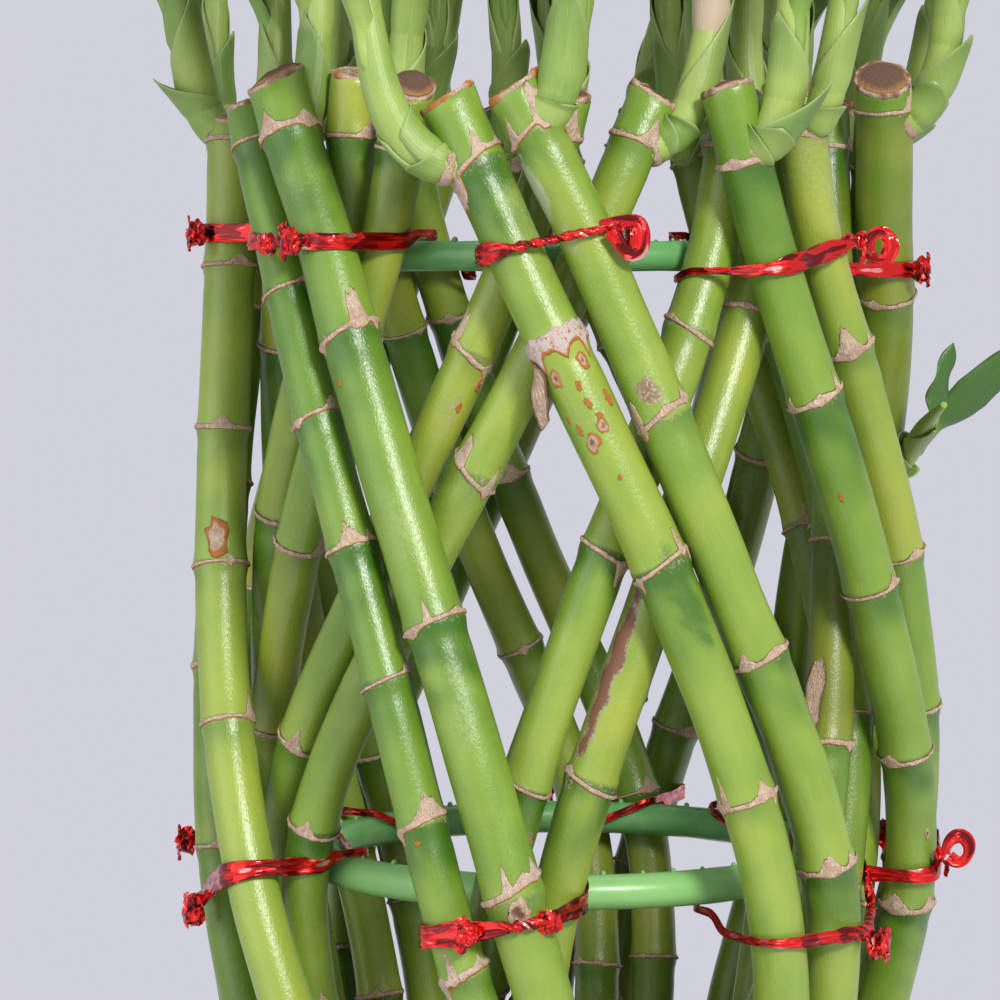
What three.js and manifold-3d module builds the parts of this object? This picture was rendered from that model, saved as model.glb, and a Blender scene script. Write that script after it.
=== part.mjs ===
// Lattice-trained lucky bamboo: thirty-two cane stalks, bound in crossing pairs to two hoops, stand in a
// bowl of gravel. Millimetres, +Z up. The origin is the centre of the bowl's foot. Azimuths run in plan from
// the front, -Y, towards +X.
import * as THREE from 'three';
import { mergeVertices } from 'three/addons/utils/BufferGeometryUtils.js';
import Module from 'manifold-3d';

const wasm = await Module();
wasm.setup();

// Heights above the foot of the bowl
const BUTT_Z = 24;
const GRAVEL_Z = 64;
const UPRIGHT_Z = 70;
const LOWER_HOOP_Z = 130.5;
const MIDDLE_Z = 196;
const UPPER_HOOP_Z = 262;
const CUT_Z = 296;

// Levels at which a stalk's azimuth, the radius of the lattice and the drift of its axis are given. Below
// them a stalk is upright.
const LEVELS = [CUT_Z, UPPER_HOOP_Z, MIDDLE_Z, LOWER_HOOP_Z, UPRIGHT_Z];
const OUTER_RADIUS = [71, 71.5, 75.5, 76.2, 67];
const AXIS_DRIFT = [-0.6, -0.6, 0.8, 1.4, 0];
const LAYER_STEP = 12.3;

// Each tie: its azimuth, which side passes over the hoop (1 right, -1 left, seen from outside), the height
// of its front strand against the hoop, how much that strand climbs to the right, and the side of its knot
const UPPER_TIES = [
  { azimuth: -90, over: 1, front: 5, climb: 0, knot: 1 },
  { azimuth: -44.5, over: -1, front: 3, climb: 0, knot: -1 },
  { azimuth: -1.6, over: -1, front: 3, climb: 3, knot: 1 },
  { azimuth: 46, over: 1, front: 1, climb: 4, knot: 1 },
  { azimuth: 90, over: 1, front: -3, climb: 0, knot: -1 },
  { azimuth: 135, over: 1, front: 0, climb: 4, knot: 1 },
  { azimuth: 180, over: -1, front: 0, climb: -4, knot: -1 },
  { azimuth: 216, over: 1, front: 2, climb: 2, knot: 1 },
];
const LOWER_TIES = [
  { azimuth: -100, over: 1, front: 2, climb: 0, knot: 1 },
  { azimuth: -68, over: 1, front: 0, climb: 6, knot: -1 },
  { azimuth: -10, over: 1, front: -3, climb: 3, knot: -1 },
  { azimuth: 43.5, over: 1, front: -8, climb: 0, knot: 1 },
  { azimuth: 86, over: 1, front: 1, climb: 3, knot: -1 },
  { azimuth: 127.5, over: 1, front: 0, climb: 5, knot: -1 },
  { azimuth: 170, over: -1, front: 1, climb: -3, knot: 1 },
  { azimuth: 226, over: 1, front: 0, climb: 4, knot: -1 },
];

// Half the spread of a pair at each level, and its turn past the tie at the cut end and in the gravel
const OUTER_SPREAD = [7.5, 6.5, 5.9, 6, 6.4];
const INNER_SPREAD = [6.8, 6.4, 6.4, 6.4, 7];
const PAIR_TURN = 45;
const CUT_TURN = 9;
const GRAVEL_TURN = 6;

const HOOP_SIDES = { wire: 6, ring: 26 };
const HOOPS = {
  upper: { z: UPPER_HOOP_Z, radius: 50.2, wire: 6.4 },
  lower: { z: LOWER_HOOP_Z, radius: 54.4, wire: 7.4 },
};

const STALK_SIDES = { outer: 7, inner: 6 };
const STALK_WIDTH = { outer: 10.2, inner: 9.5, spread: 1 };
const JOINTS = { top: 287, drop: 6, pitch: 33, spread: 9, lowest: 75 };
const RING_SWELL = 0.4;
const WAIST = 0.15;
const LONG_STRETCH = 38;
const CUT_STUB = 3;
const CUT_UNEVENNESS = 4;

// Stalks that differ from the rule: width, azimuth at each level, heights of the joints, and of the cut end
const GIVEN = {
  outer_1a: { width: 10.2, azimuth: [-106, -104.5, -92, -80, -73],
    joints: [284, 250, 212, 172, 133.6, 96] },
  outer_1b: { width: 10.9, azimuth: [-92, -87.5, -80.3, -61, -49],
    joints: [287, 259.7, 224.6, 195, 162, 100], cut: 292 },
  outer_2a: { width: 9.8, azimuth: [-67, -53.5, -33.2, -19, -8],
    joints: [285, 254.4, 228.4, 202.5, 175.7, 147.3, 116.9, 88], cut: 294 },
  outer_2b: { width: 12, azimuth: [-54.5, -41, -22.2, -7.4, 3],
    joints: [287, 245.7, 187.9, 133.2, 90], cut: 299 },
  outer_3a: { width: 11.5, azimuth: [-18.9, -6.5, 16.2, 33.6, 42],
    joints: [279.9, 243.9, 199.9, 152.3, 102], cut: 294 },
  outer_3b: { width: 11.3, azimuth: [-7, 6.1, 26.4, 46, 53],
    joints: [287, 229.9, 180.9, 136.9, 92], cut: 296 },
  outer_4a: { width: 10.9, azimuth: [28.9, 37.6, 57, 79, 89.5],
    joints: [281.5, 233.1, 193, 156.4, 129, 94], cut: 296 },
  outer_4b: { width: 10.2, azimuth: [43.5, 50, 72.3, 93, 103.5],
    joints: [287.6, 243, 199, 164.6, 128, 92], cut: 295 },
  outer_5a: { width: 12.2, azimuth: [80.5, 89, 117.3, 125, 131],
    joints: [294, 254, 214, 170, 126, 88], cut: 300 },
  outer_5b: { width: 10.4, azimuth: [95, 103.5, 131, 139, 145] },
  inner_2a: { width: 10.4, azimuth: [-46, -50, -81, -106, -109],
    joints: [287, 249, 207, 164, 120, 84], cut: 300 },
  inner_2b: { width: 9.8, azimuth: [-30.5, -38.5, -65, -93, -98],
    joints: [284, 246, 201, 160, 118, 84], cut: 297 },
  inner_3a: { width: 9.3, azimuth: [3, -8.4, -39.5, -75, -79],
    joints: [287, 242.5, 203.8, 159.8, 118, 86], cut: 295 },
  inner_3b: { width: 10, azimuth: [20.4, 5.6, -27.8, -60, -65],
    joints: [285.5, 218, 180, 141.9, 100], cut: 295 },
  inner_4a: { width: 10.2, azimuth: [39.5, 32.2, 5.8, -13.2, -19],
    joints: [284, 246.8, 201.7, 154.4, 112, 84] },
  inner_4b: { width: 10.6, azimuth: [54.7, 45.6, 18.2, -1.8, -7],
    joints: [288, 250, 202, 155, 108, 84] },
  inner_5a: { width: 10, azimuth: [92, 83.6, 66, 54, 40] },
  inner_5b: { width: 10, azimuth: [106, 96.4, 79, 66, 54] },
};

// Shoots that differ from the rule: the height where they leave the stalk, the way they turn out of it, how
// far, and the azimuth and radius that they rise to
const GIVEN_SHOOTS = {
  outer_1b: { z: 286, direction: -100, reach: 10, slot: -82, radius: 88 },
  outer_2a: { z: 284, direction: 153, reach: 7.5, slot: -67, radius: 65 },
  outer_2b: { z: 288, direction: 150, reach: 9.8, slot: -54, radius: 61.5 },
  outer_3a: { z: 279.5, direction: -80, reach: 20, slot: -31.5, radius: 82 },
  outer_3b: { z: 289, direction: 62, reach: 8, slot: 3, radius: 79 },
  outer_4a: { z: 283, direction: 60, reach: 10.5, slot: 35, radius: 83 },
  outer_4b: { z: 288, direction: 40, reach: 9, slot: 49, radius: 83 },
  outer_5a: { z: 290, direction: 78, reach: 13, slot: 77, radius: 86 },
  outer_5b: { z: 288, direction: 100, reach: 10, slot: 96, radius: 88 },
  inner_2b: { z: 286, direction: -175, reach: 8.5, slot: -26, radius: 56 },
  inner_3a: { z: 286, direction: 165, reach: 9, slot: 10, radius: 50 },
  inner_3b: { z: 283.5, direction: 96, reach: 14.5, slot: 35, radius: 62 },
  inner_4a: { z: 286, direction: 222, reach: 9, slot: 42, radius: 47 },
};
const SIDE_SHOOT = {
  stalk: 'outer_5a', z: 214, direction: 72, reach: 9, slot: 80, radius: 84, rise: 16,
  length: 36, width: 10, thickness: 5,
};

const SHOOT_WIDTH = 7.6;
const SHOOT_SIDES = 5;
const SHOOTS = {
  lowest: 284,
  spread: 4,
  reach: 9.4,
  growth: 8,
  elbow: 1.2,
  upturn: 0.5,
  outer: { radius: 82, rise: 46, fan: 5, length: 84, width: 14.5, tilt: 0 },
  inner: { radius: 50, rise: 58, fan: 4, length: 74, width: 11, tilt: 180 },
};
const BLADE_KEEL = 1.2;
const BLADE_SWAY = 7;
const BLADE_DROOP = 16;
const BLADE_GROWTH = 0.22;

// Blades of a shoot: share of the rise where each leaves, turn from outward, climb at the root and at the
// tip in degrees, and size
const BLADES = {
  outer: [
    { at: 0.62, turn: -6, root: 64, tip: 4, scale: 0.86 },
    { at: 0.74, turn: 6, root: 70, tip: 22, scale: 0.96 },
    { at: 0.86, turn: -3, root: 79, tip: 44, scale: 1 },
    { at: 0.94, turn: 3, root: 87, tip: 72, scale: 0.84 },
  ],
  inner: [
    { at: 0.66, turn: 170, root: 84, tip: 68, scale: 0.7 },
    { at: 0.8, turn: 8, root: 86, tip: 72, scale: 0.9 },
    { at: 0.93, turn: 184, root: 88, tip: 76, scale: 0.86 },
  ],
  side: [
    { at: 0.55, turn: 0, root: 60, tip: 32, scale: 1 },
    { at: 0.8, turn: 12, root: 80, tip: 70, scale: 0.5 },
  ],
};

// A tie keeps its clearance to what it binds, passes the hoop at its climb, and goes over to the height of
// its front strand between two distances outside the hoop
const TIE = {
  height: 2.6, thickness: 0.9, clearance: 0.42, climb: 5.8, ramp: 11, frontStart: 5, frontEnd: 13,
  frontRamp: 17, corners: 6, hoopReach: 8,
};
const KNOT = { size: 3.1, shape: [1, 0.85, 1.2], aside: 3.1, outwards: 4.2, neck: 1.2, lean: 0.8 };

const BOWL_SIDES = 28;
const BOWL_OUTSIDE = [[0, 0], [72, 0], [75, 2], [92, 26], [98.5, 50], [98.5, 73], [96.8, 76]];
const BOWL_INSIDE = [[94.6, 73], [94.4, 50], [88, 27], [72, 9], [0, 9]];
const GRAVEL_GAP = 0.3;
const HOLE_GAP = 0.35;
const GRAVEL_RINGS = 2;
const PEBBLE_RELIEF = 1.8;
const PEBBLE_WAVES = [[0.61, 0.2], [-0.13, 0.57]];
const WALL_SLOPE = 1.6;

const COLOURS = {
  stalk: { color: 0x7fae45, roughness: 0.36, metalness: 0 },
  hoop: { color: 0x4f9f4a, roughness: 0.3, metalness: 0 },
  tie: { color: 0xc4121c, roughness: 0.22, metalness: 0.85 },
  bowl: { color: 0xece9e2, roughness: 0.18, metalness: 0 },
  gravel: { color: 0xb9b0a2, roughness: 0.7, metalness: 0 },
};

const radians = THREE.MathUtils.degToRad;

// A repeatable draw between 0 and 1 for a number.
function draw(n) {
  const v = Math.sin(n * 12.9898 + 4.1) * 43758.5453;
  return v - Math.floor(v);
}

// Smooth curve through values given at the falling LEVELS: it ends upright at the last and keeps that value
// below it.
function atLevel(values, height) {
  const last = LEVELS.length - 1;
  const z = Math.max(height, LEVELS[last]);
  const slope = (i) => {
    if (i === last) return 0;
    const above = Math.max(i - 1, 0);
    return (values[i + 1] - values[above]) / (LEVELS[i + 1] - LEVELS[above]);
  };
  let i = 0;
  while (i < last - 1 && z < LEVELS[i + 1]) i += 1;
  const span = LEVELS[i + 1] - LEVELS[i];
  const t = (z - LEVELS[i]) / span;
  const t2 = t * t;
  const t3 = t2 * t;
  return (2 * t3 - 3 * t2 + 1) * values[i] + (t3 - 2 * t2 + t) * span * slope(i)
    + (3 * t2 - 2 * t3) * values[i + 1] + (t3 - t2) * span * slope(i + 1);
}

// Horizontal unit vector of an azimuth.
function heading(azimuth) {
  return new THREE.Vector3(Math.sin(radians(azimuth)), -Math.cos(radians(azimuth)), 0);
}

// Everything that tells one stalk from another, from GIVEN or else by rule.
function planStalk(family, pair, member) {
  const name = `${family}_${pair + 1}${'ab'[member]}`;
  const seed = (family === 'outer' ? 100 : 200) + pair * 2 + member;
  const side = member === 0 ? -1 : 1;
  const turn = family === 'outer' ? 1 : -1;
  const spread = family === 'outer' ? OUTER_SPREAD : INNER_SPREAD;
  const lowerIndex = (pair + turn + LOWER_TIES.length) % LOWER_TIES.length;
  const upper = UPPER_TIES[pair].azimuth;
  const below = LOWER_TIES[lowerIndex].azimuth;
  const lower = below + 360 * Math.round((upper + turn * PAIR_TURN - below) / 360);
  const centre = [upper - turn * CUT_TURN, upper, (upper + lower) / 2, lower, lower + turn * GRAVEL_TURN];
  const given = GIVEN[name] ?? {};
  const azimuth = given.azimuth ?? centre.map((a, i) => a + side * spread[i]);
  const joints = given.joints ?? [];
  if (!given.joints) {
    const pitch = JOINTS.pitch + JOINTS.spread * draw(seed + 0.3);
    for (let z = JOINTS.top - JOINTS.drop * draw(seed + 0.6); z > JOINTS.lowest; z -= pitch) joints.push(z);
  }
  const width = given.width ?? STALK_WIDTH[family] + STALK_WIDTH.spread * draw(seed);
  const cut = given.cut ?? CUT_Z + CUT_UNEVENNESS * (draw(seed + 0.9) - 0.5);
  return { name, family, pair, member, seed, azimuth, joints, width, cut };
}

// Centre of a stalk at a height.
function stalkPoint(stalk, z) {
  const radius = atLevel(OUTER_RADIUS, z) - (stalk.family === 'outer' ? 0 : LAYER_STEP);
  const point = heading(atLevel(stalk.azimuth, z)).multiplyScalar(radius);
  point.x += atLevel(AXIS_DRIFT, z);
  point.z = z;
  return point;
}

// A three.js geometry as a manifold-3d solid, turned to face outwards.
function solid(geometry) {
  const bare = geometry.clone();
  bare.deleteAttribute('normal');
  bare.deleteAttribute('uv');
  const merged = mergeVertices(bare, 1e-4);
  const index = Array.from(merged.index.array);
  const faces = [];
  for (let i = 0; i < index.length; i += 3) {
    const [a, b, c] = index.slice(i, i + 3);
    if (a !== b && b !== c && a !== c) faces.push(a, b, c);
  }
  const build = (list) => new wasm.Manifold(new wasm.Mesh({
    numProp: 3,
    vertProperties: new Float32Array(merged.attributes.position.array),
    triVerts: new Uint32Array(list),
  }));
  const made = build(faces);
  if (made.volume() > 0) return made;
  for (let i = 0; i < faces.length; i += 3) [faces[i + 1], faces[i + 2]] = [faces[i + 2], faces[i + 1]];
  return build(faces);
}

// A solid as a named mesh.
function part(name, made, colour) {
  const data = made.getMesh();
  const geometry = new THREE.BufferGeometry();
  geometry.setAttribute('position', new THREE.BufferAttribute(new Float32Array(data.vertProperties), 3));
  geometry.setIndex(new THREE.BufferAttribute(new Uint32Array(data.triVerts), 1));
  geometry.computeVertexNormals();
  const mesh = new THREE.Mesh(geometry, new THREE.MeshStandardMaterial(colour));
  mesh.name = name;
  return mesh;
}

// A lathe-turned blank whose height runs from 0 to 1, laid along a path: place(share, across, outwards,
// point) sets each point.
function alongPath(profile, sides, place) {
  const blank = new THREE.LatheGeometry(profile.map(([x, y]) => new THREE.Vector2(x, y)), sides);
  const position = blank.attributes.position;
  const point = new THREE.Vector3();
  for (let i = 0; i < position.count; i += 1) {
    place(position.getY(i), position.getX(i), position.getZ(i), point);
    position.setXYZ(i, point.x, point.y, point.z);
  }
  return solid(blank);
}

// A round stem along a curve of share 0 to 1, its profile given as pairs of radius and share.
function stem(profile, sides, curvePoint) {
  const step = 0.01;
  return alongPath(profile, sides, (share, across, outwards, point) => {
    const tangent = curvePoint(Math.min(share + step, 1)).sub(curvePoint(Math.max(share - step, 0)));
    tangent.normalize();
    const side = new THREE.Vector3(1, 0, 0).addScaledVector(tangent, -tangent.x).normalize();
    const front = new THREE.Vector3().crossVectors(tangent, side);
    point.copy(curvePoint(share)).addScaledVector(side, across).addScaledVector(front, outwards);
  });
}

// The bare cane of a stalk, swollen at its joints, with a flat butt and a cut end.
function cane(stalk) {
  const radius = stalk.width / 2;
  const length = stalk.cut - BUTT_Z;
  const share = (z) => (z - BUTT_Z) / length;
  const profile = [[0, 0], [radius, 0], [radius, share(UPRIGHT_Z)]];
  let below = UPRIGHT_Z;
  for (const z of stalk.joints.filter((joint) => joint < stalk.cut - CUT_STUB).reverse()) {
    if (z - below > LONG_STRETCH) profile.push([radius - WAIST, share((z + below) / 2)]);
    profile.push([radius + RING_SWELL, share(z)]);
    below = z;
  }
  profile.push([radius - WAIST, share(stalk.cut - 1)], [radius - 1, 1], [0, 1]);
  return stem(profile, STALK_SIDES[stalk.family], (s) => stalkPoint(stalk, BUTT_Z + s * length));
}

// The plain upright hole of a stalk in the gravel.
function hole(stalk) {
  const radius = stalk.width / 2 + HOLE_GAP;
  const floor = stalkPoint(stalk, BUTT_Z - GRAVEL_GAP);
  const mouth = stalkPoint(stalk, UPRIGHT_Z);
  const profile = [[0, 0], [radius, 0], [radius, 1], [0, 1]];
  return stem(profile, STALK_SIDES[stalk.family], (s) => floor.clone().lerp(mouth, s));
}

// A leaf blade: a thin blade with a keel, along an arch that climbs at `root` degrees and ends at `tip`
// degrees.
function blade(base, azimuth, root, tip, length, width) {
  const out = heading(azimuth);
  const side = new THREE.Vector3(-out.y, out.x, 0);
  const climb = (degrees, run) => out.clone().multiplyScalar(Math.cos(radians(degrees)) * run)
    .add(new THREE.Vector3(0, 0, Math.sin(radians(degrees)) * run));
  const bend = base.clone().add(climb(root, length * 0.5));
  const arch = new THREE.QuadraticBezierCurve3(base, bend, bend.clone().add(climb(tip, length * 0.5)));
  const profile = [[0, 0], [0.26, 0.03], [0.5, 0.42], [0.36, 0.74], [0, 1]];
  return alongPath(profile, 3, (share, across, outwards, point) => {
    const keel = new THREE.Vector3().crossVectors(arch.getTangent(share), side);
    const isKeel = outwards > Math.abs(across);
    const half = Math.hypot(across, outwards) * width;
    point.copy(arch.getPoint(share)).addScaledVector(side, isKeel ? 0 : Math.sign(across) * half);
    point.addScaledVector(keel, isKeel ? -BLADE_KEEL : 0);
  });
}

// The plan of a stalk's shoot, from GIVEN_SHOOTS or else by rule: outwards on the outer layer, inwards on
// the inner.
function planShoot(stalk) {
  const rule = SHOOTS[stalk.family];
  const top = stalk.azimuth[0];
  return {
    z: SHOOTS.lowest + SHOOTS.spread * draw(stalk.seed + 0.2),
    direction: top + rule.tilt,
    reach: SHOOTS.reach,
    slot: top + rule.fan * (stalk.member === 0 ? -1 : 1),
    radius: rule.radius,
    rise: rule.rise + SHOOTS.growth * draw(stalk.seed + 0.7),
    ...GIVEN_SHOOTS[stalk.name],
  };
}

// The curve of a shoot: out of the stalk at a joint, then up to its slot.
function shootCurve(stalk, shoot) {
  const root = stalkPoint(stalk, shoot.z);
  const out = heading(shoot.direction);
  const elbow = root.clone().addScaledVector(out, shoot.reach * SHOOTS.elbow);
  const rising = root.clone().addScaledVector(out, shoot.reach);
  rising.z += shoot.rise * SHOOTS.upturn;
  const top = heading(shoot.slot).multiplyScalar(shoot.radius);
  top.z = root.z + shoot.rise;
  return new THREE.CubicBezierCurve3(root, elbow, rising, top);
}

// A shoot with its blades, as one solid to be fused to its stalk.
function shootSolid(stalk, shoot, blades, length, width, thickness) {
  const curve = shootCurve(stalk, shoot);
  const half = thickness / 2;
  const profile = [[0, 0], [half, 0.04], [half * 1.1, 0.4], [half * 0.8, 0.75], [0, 1]];
  let made = stem(profile, SHOOT_SIDES, (s) => curve.getPoint(s));
  blades.forEach((leaf, i) => {
    const [sway, droop, grown] = [0, 1, 2].map((k) => draw(stalk.seed * 7 + i + k * 0.37) - 0.5);
    const azimuth = shoot.slot + leaf.turn + sway * BLADE_SWAY;
    const tip = leaf.tip + droop * BLADE_DROOP;
    const run = length * leaf.scale * (1 + grown * BLADE_GROWTH);
    made = made.add(blade(curve.getPoint(leaf.at), azimuth, leaf.root, tip, run, width));
  });
  return made;
}

// A whole stalk: cane, shoot and blades in one body.
function stalkSolid(stalk) {
  const { length, width } = SHOOTS[stalk.family];
  const leafy = shootSolid(stalk, planShoot(stalk), BLADES[stalk.family], length, width, SHOOT_WIDTH);
  const made = cane(stalk).add(leafy);
  if (stalk.name !== SIDE_SHOOT.stalk) return made;
  const { thickness } = SIDE_SHOOT;
  return made.add(shootSolid(stalk, SIDE_SHOOT, BLADES.side, SIDE_SHOOT.length, SIDE_SHOOT.width, thickness));
}

// A hoop that lies inside the lattice.
function hoopSolid(hoop) {
  const ring = new THREE.TorusGeometry(hoop.radius, hoop.wire / 2, HOOP_SIDES.wire, HOOP_SIDES.ring);
  ring.translate(atLevel(AXIS_DRIFT, hoop.z), 0, hoop.z);
  return solid(ring);
}

// Corners of the convex outline round a set of points in plan, in order.
function convexOutline(points) {
  const sorted = points.slice().sort((a, b) => a[0] - b[0] || a[1] - b[1]);
  const turnsRight = (o, a, b) => (a[0] - o[0]) * (b[1] - o[1]) - (a[1] - o[1]) * (b[0] - o[0]) <= 0;
  const chain = (list) => {
    const kept = [];
    for (const p of list) {
      while (kept.length > 1 && turnsRight(kept[kept.length - 2], kept[kept.length - 1], p)) kept.pop();
      kept.push(p);
    }
    kept.pop();
    return kept;
  };
  return chain(sorted).concat(chain(sorted.slice().reverse()));
}

// The frame of a tie: the centre of its hoop, and the ways along the hoop and outwards.
function tieFrame(hoop, tie) {
  const out = heading(tie.azimuth);
  const along = new THREE.Vector3(-out.y, out.x, 0);
  const middle = new THREE.Vector3(atLevel(AXIS_DRIFT, hoop.z), 0, hoop.z);
  return { out, along, middle };
}

// Height of a tie against its hoop, at x along the hoop and y out from its centre: one side passes over the
// hoop and the other under it, and outside the hoop the height goes over to that of the front strand.
function tieLift(hoop, tie, x, y) {
  const side = tie.over * TIE.climb * Math.max(-1, Math.min(1, x / TIE.ramp));
  const front = tie.front + tie.climb * Math.max(-1, Math.min(1, x / TIE.frontRamp));
  const t = Math.max(0, Math.min(1, (y - hoop.radius - TIE.frontStart) / (TIE.frontEnd - TIE.frontStart)));
  return side + (front - side) * t * t * (3 - 2 * t);
}

// Corners of a tie round its four stalks and its hoop, in the tie's frame.
function tieOutline(hoop, tie, bound) {
  const { out, along, middle } = tieFrame(hoop, tie);
  const margin = TIE.clearance + TIE.thickness / 2;
  const corners = [];
  const wrap = (x, y, radius) => {
    const far = (radius + margin) / Math.cos(Math.PI / TIE.corners);
    for (let i = 0; i < TIE.corners; i += 1) {
      const a = 2 * Math.PI * (i + 0.5) / TIE.corners;
      corners.push([x + far * Math.cos(a), y + far * Math.sin(a)]);
    }
  };
  for (const stalk of bound) {
    const at = (z) => {
      const point = stalkPoint(stalk, z).sub(middle);
      return [point.dot(along), point.dot(out)];
    };
    let [x, y] = at(hoop.z);
    for (let pass = 0; pass < 3; pass += 1) [x, y] = at(hoop.z + tieLift(hoop, tie, x, y));
    for (const edge of [-1, 1]) {
      const [wrapX, wrapY] = at(hoop.z + tieLift(hoop, tie, x, y) + edge * TIE.height);
      wrap(wrapX, wrapY, stalk.width / 2 + RING_SWELL);
    }
  }
  for (const x of [-TIE.hoopReach, TIE.hoopReach]) {
    wrap(x, Math.sqrt(hoop.radius ** 2 - x ** 2), hoop.wire / 2);
  }
  return convexOutline(corners);
}

// A tie: a ribbon round the bundle, with a twisted tail and a knot on one side of the front.
function tieSolid(hoop, tie, bound) {
  const { out, along, middle } = tieFrame(hoop, tie);
  const outline = tieOutline(hoop, tie, bound).map(([x, y]) => new THREE.Vector2(x, y));
  const count = outline.length;
  const place = (x, y, lift) => middle.clone().addScaledVector(along, x).addScaledVector(out, y)
    .add(new THREE.Vector3(0, 0, lift));
  const ring = new THREE.TorusGeometry(1, 0.5, 4, count);
  const position = ring.attributes.position;
  for (let i = 0; i < position.count; i += 1) {
    const turn = Math.atan2(position.getY(i), position.getX(i)) / (2 * Math.PI);
    const at = Math.round(turn * count + count) % count;
    const corner = outline[at];
    const before = corner.clone().sub(outline[(at + count - 1) % count]).normalize();
    const after = outline[(at + 1) % count].clone().sub(corner).normalize();
    const away = new THREE.Vector2(before.y + after.y, -before.x - after.x).normalize();
    const step = (Math.hypot(position.getX(i), position.getY(i)) - 1) * TIE.thickness;
    const spot = corner.clone().addScaledVector(away, step);
    const height = tieLift(hoop, tie, corner.x, corner.y) + position.getZ(i) * TIE.height;
    const point = place(spot.x, spot.y, height);
    position.setXYZ(i, point.x, point.y, point.z);
  }
  const reach = (corner) => corner.x * tie.knot * KNOT.lean + corner.y;
  const root = outline.reduce((best, corner) => (reach(corner) > reach(best) ? corner : best));
  const lift = tieLift(hoop, tie, root.x, root.y);
  const start = place(root.x, root.y, lift);
  const end = place(root.x + tie.knot * KNOT.aside, root.y + KNOT.outwards, lift);
  const section = [[0, 0], [KNOT.neck, 0.01], [KNOT.neck, 0.97], [0, 1]];
  const tail = stem(section, 3, (s) => start.clone().lerp(end, s));
  const knot = new THREE.IcosahedronGeometry(KNOT.size, 0).scale(...KNOT.shape).translate(end.x, end.y, end.z);
  return solid(ring).add(tail).add(solid(knot));
}

// A solid turned round the upright axis from pairs of radius and height.
function turned(profile, sides) {
  const outline = profile.map(([x, y]) => new THREE.Vector2(x, y));
  return new THREE.LatheGeometry(outline, sides).rotateX(Math.PI / 2);
}

// The gravel: a bed that fills the bowl, its top raised into pebbles by a formula, with a hole for each
// stalk.
function gravelSolid() {
  const inset = WALL_SLOPE * GRAVEL_GAP;
  const wall = BOWL_INSIDE.slice(1).map(([x, z]) => [Math.max(x - inset, 0), z + GRAVEL_GAP]).reverse();
  const rim = BOWL_INSIDE[0][0] - inset;
  const top = [];
  for (let i = GRAVEL_RINGS; i >= 0; i -= 1) top.push([rim * i / GRAVEL_RINGS, GRAVEL_Z]);
  const bed = turned([...wall, ...top], BOWL_SIDES);
  const position = bed.attributes.position;
  for (let i = 0; i < position.count; i += 1) {
    const [x, y, z] = [position.getX(i), position.getY(i), position.getZ(i)];
    const [wave, cross] = PEBBLE_WAVES.map(([along, aside]) => x * along + y * aside);
    const relief = PEBBLE_RELIEF * Math.sin(wave) * Math.cos(cross);
    if (z > GRAVEL_Z - 1 && Math.hypot(x, y) < rim - 1) position.setZ(i, z + relief);
  }
  return stalks.reduce((made, stalk) => made.subtract(hole(stalk)), solid(bed));
}

const stalks = [];
for (const family of ['outer', 'inner']) {
  for (let pair = 0; pair < UPPER_TIES.length; pair += 1) {
    for (let member = 0; member < 2; member += 1) stalks.push(planStalk(family, pair, member));
  }
}

// The four stalks that a tie binds: at the lower hoop each pair has moved on by one tie.
function bound(hoopName, index) {
  const count = UPPER_TIES.length;
  return stalks.filter((s) => {
    if (hoopName === 'upper') return s.pair === index;
    return s.pair === (index + (s.family === 'outer' ? count - 1 : 1)) % count;
  });
}

const plant = new THREE.Group();
plant.add(part('bowl', solid(turned([...BOWL_OUTSIDE, ...BOWL_INSIDE], BOWL_SIDES)), COLOURS.bowl));
plant.add(part('gravel', gravelSolid(), COLOURS.gravel));
for (const [name, hoop] of Object.entries(HOOPS)) {
  plant.add(part(`hoop_${name}`, hoopSolid(hoop), COLOURS.hoop));
  const ties = name === 'upper' ? UPPER_TIES : LOWER_TIES;
  ties.forEach((tie, i) => {
    plant.add(part(`tie_${name}_${i + 1}`, tieSolid(hoop, tie, bound(name, i)), COLOURS.tie));
  });
}
for (const stalk of stalks) plant.add(part(`stalk_${stalk.name}`, stalkSolid(stalk), COLOURS.stalk));

export default plant;
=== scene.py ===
"""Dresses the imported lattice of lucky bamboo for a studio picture.

The finished meshes are in metres, with +Z up and the front at -Y. The tables give sizes in millimetres, and
azimuths in degrees from the front towards +X. Meshes are scaled when they are made.
"""

from __future__ import annotations

import logging
import math
from abc import ABC, abstractmethod
from contextlib import contextmanager
from dataclasses import dataclass, replace
from enum import Enum
from typing import Callable, Iterator, Sequence, TypeVar

import bpy
import numpy as np
from mathutils import Matrix, Vector

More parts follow.
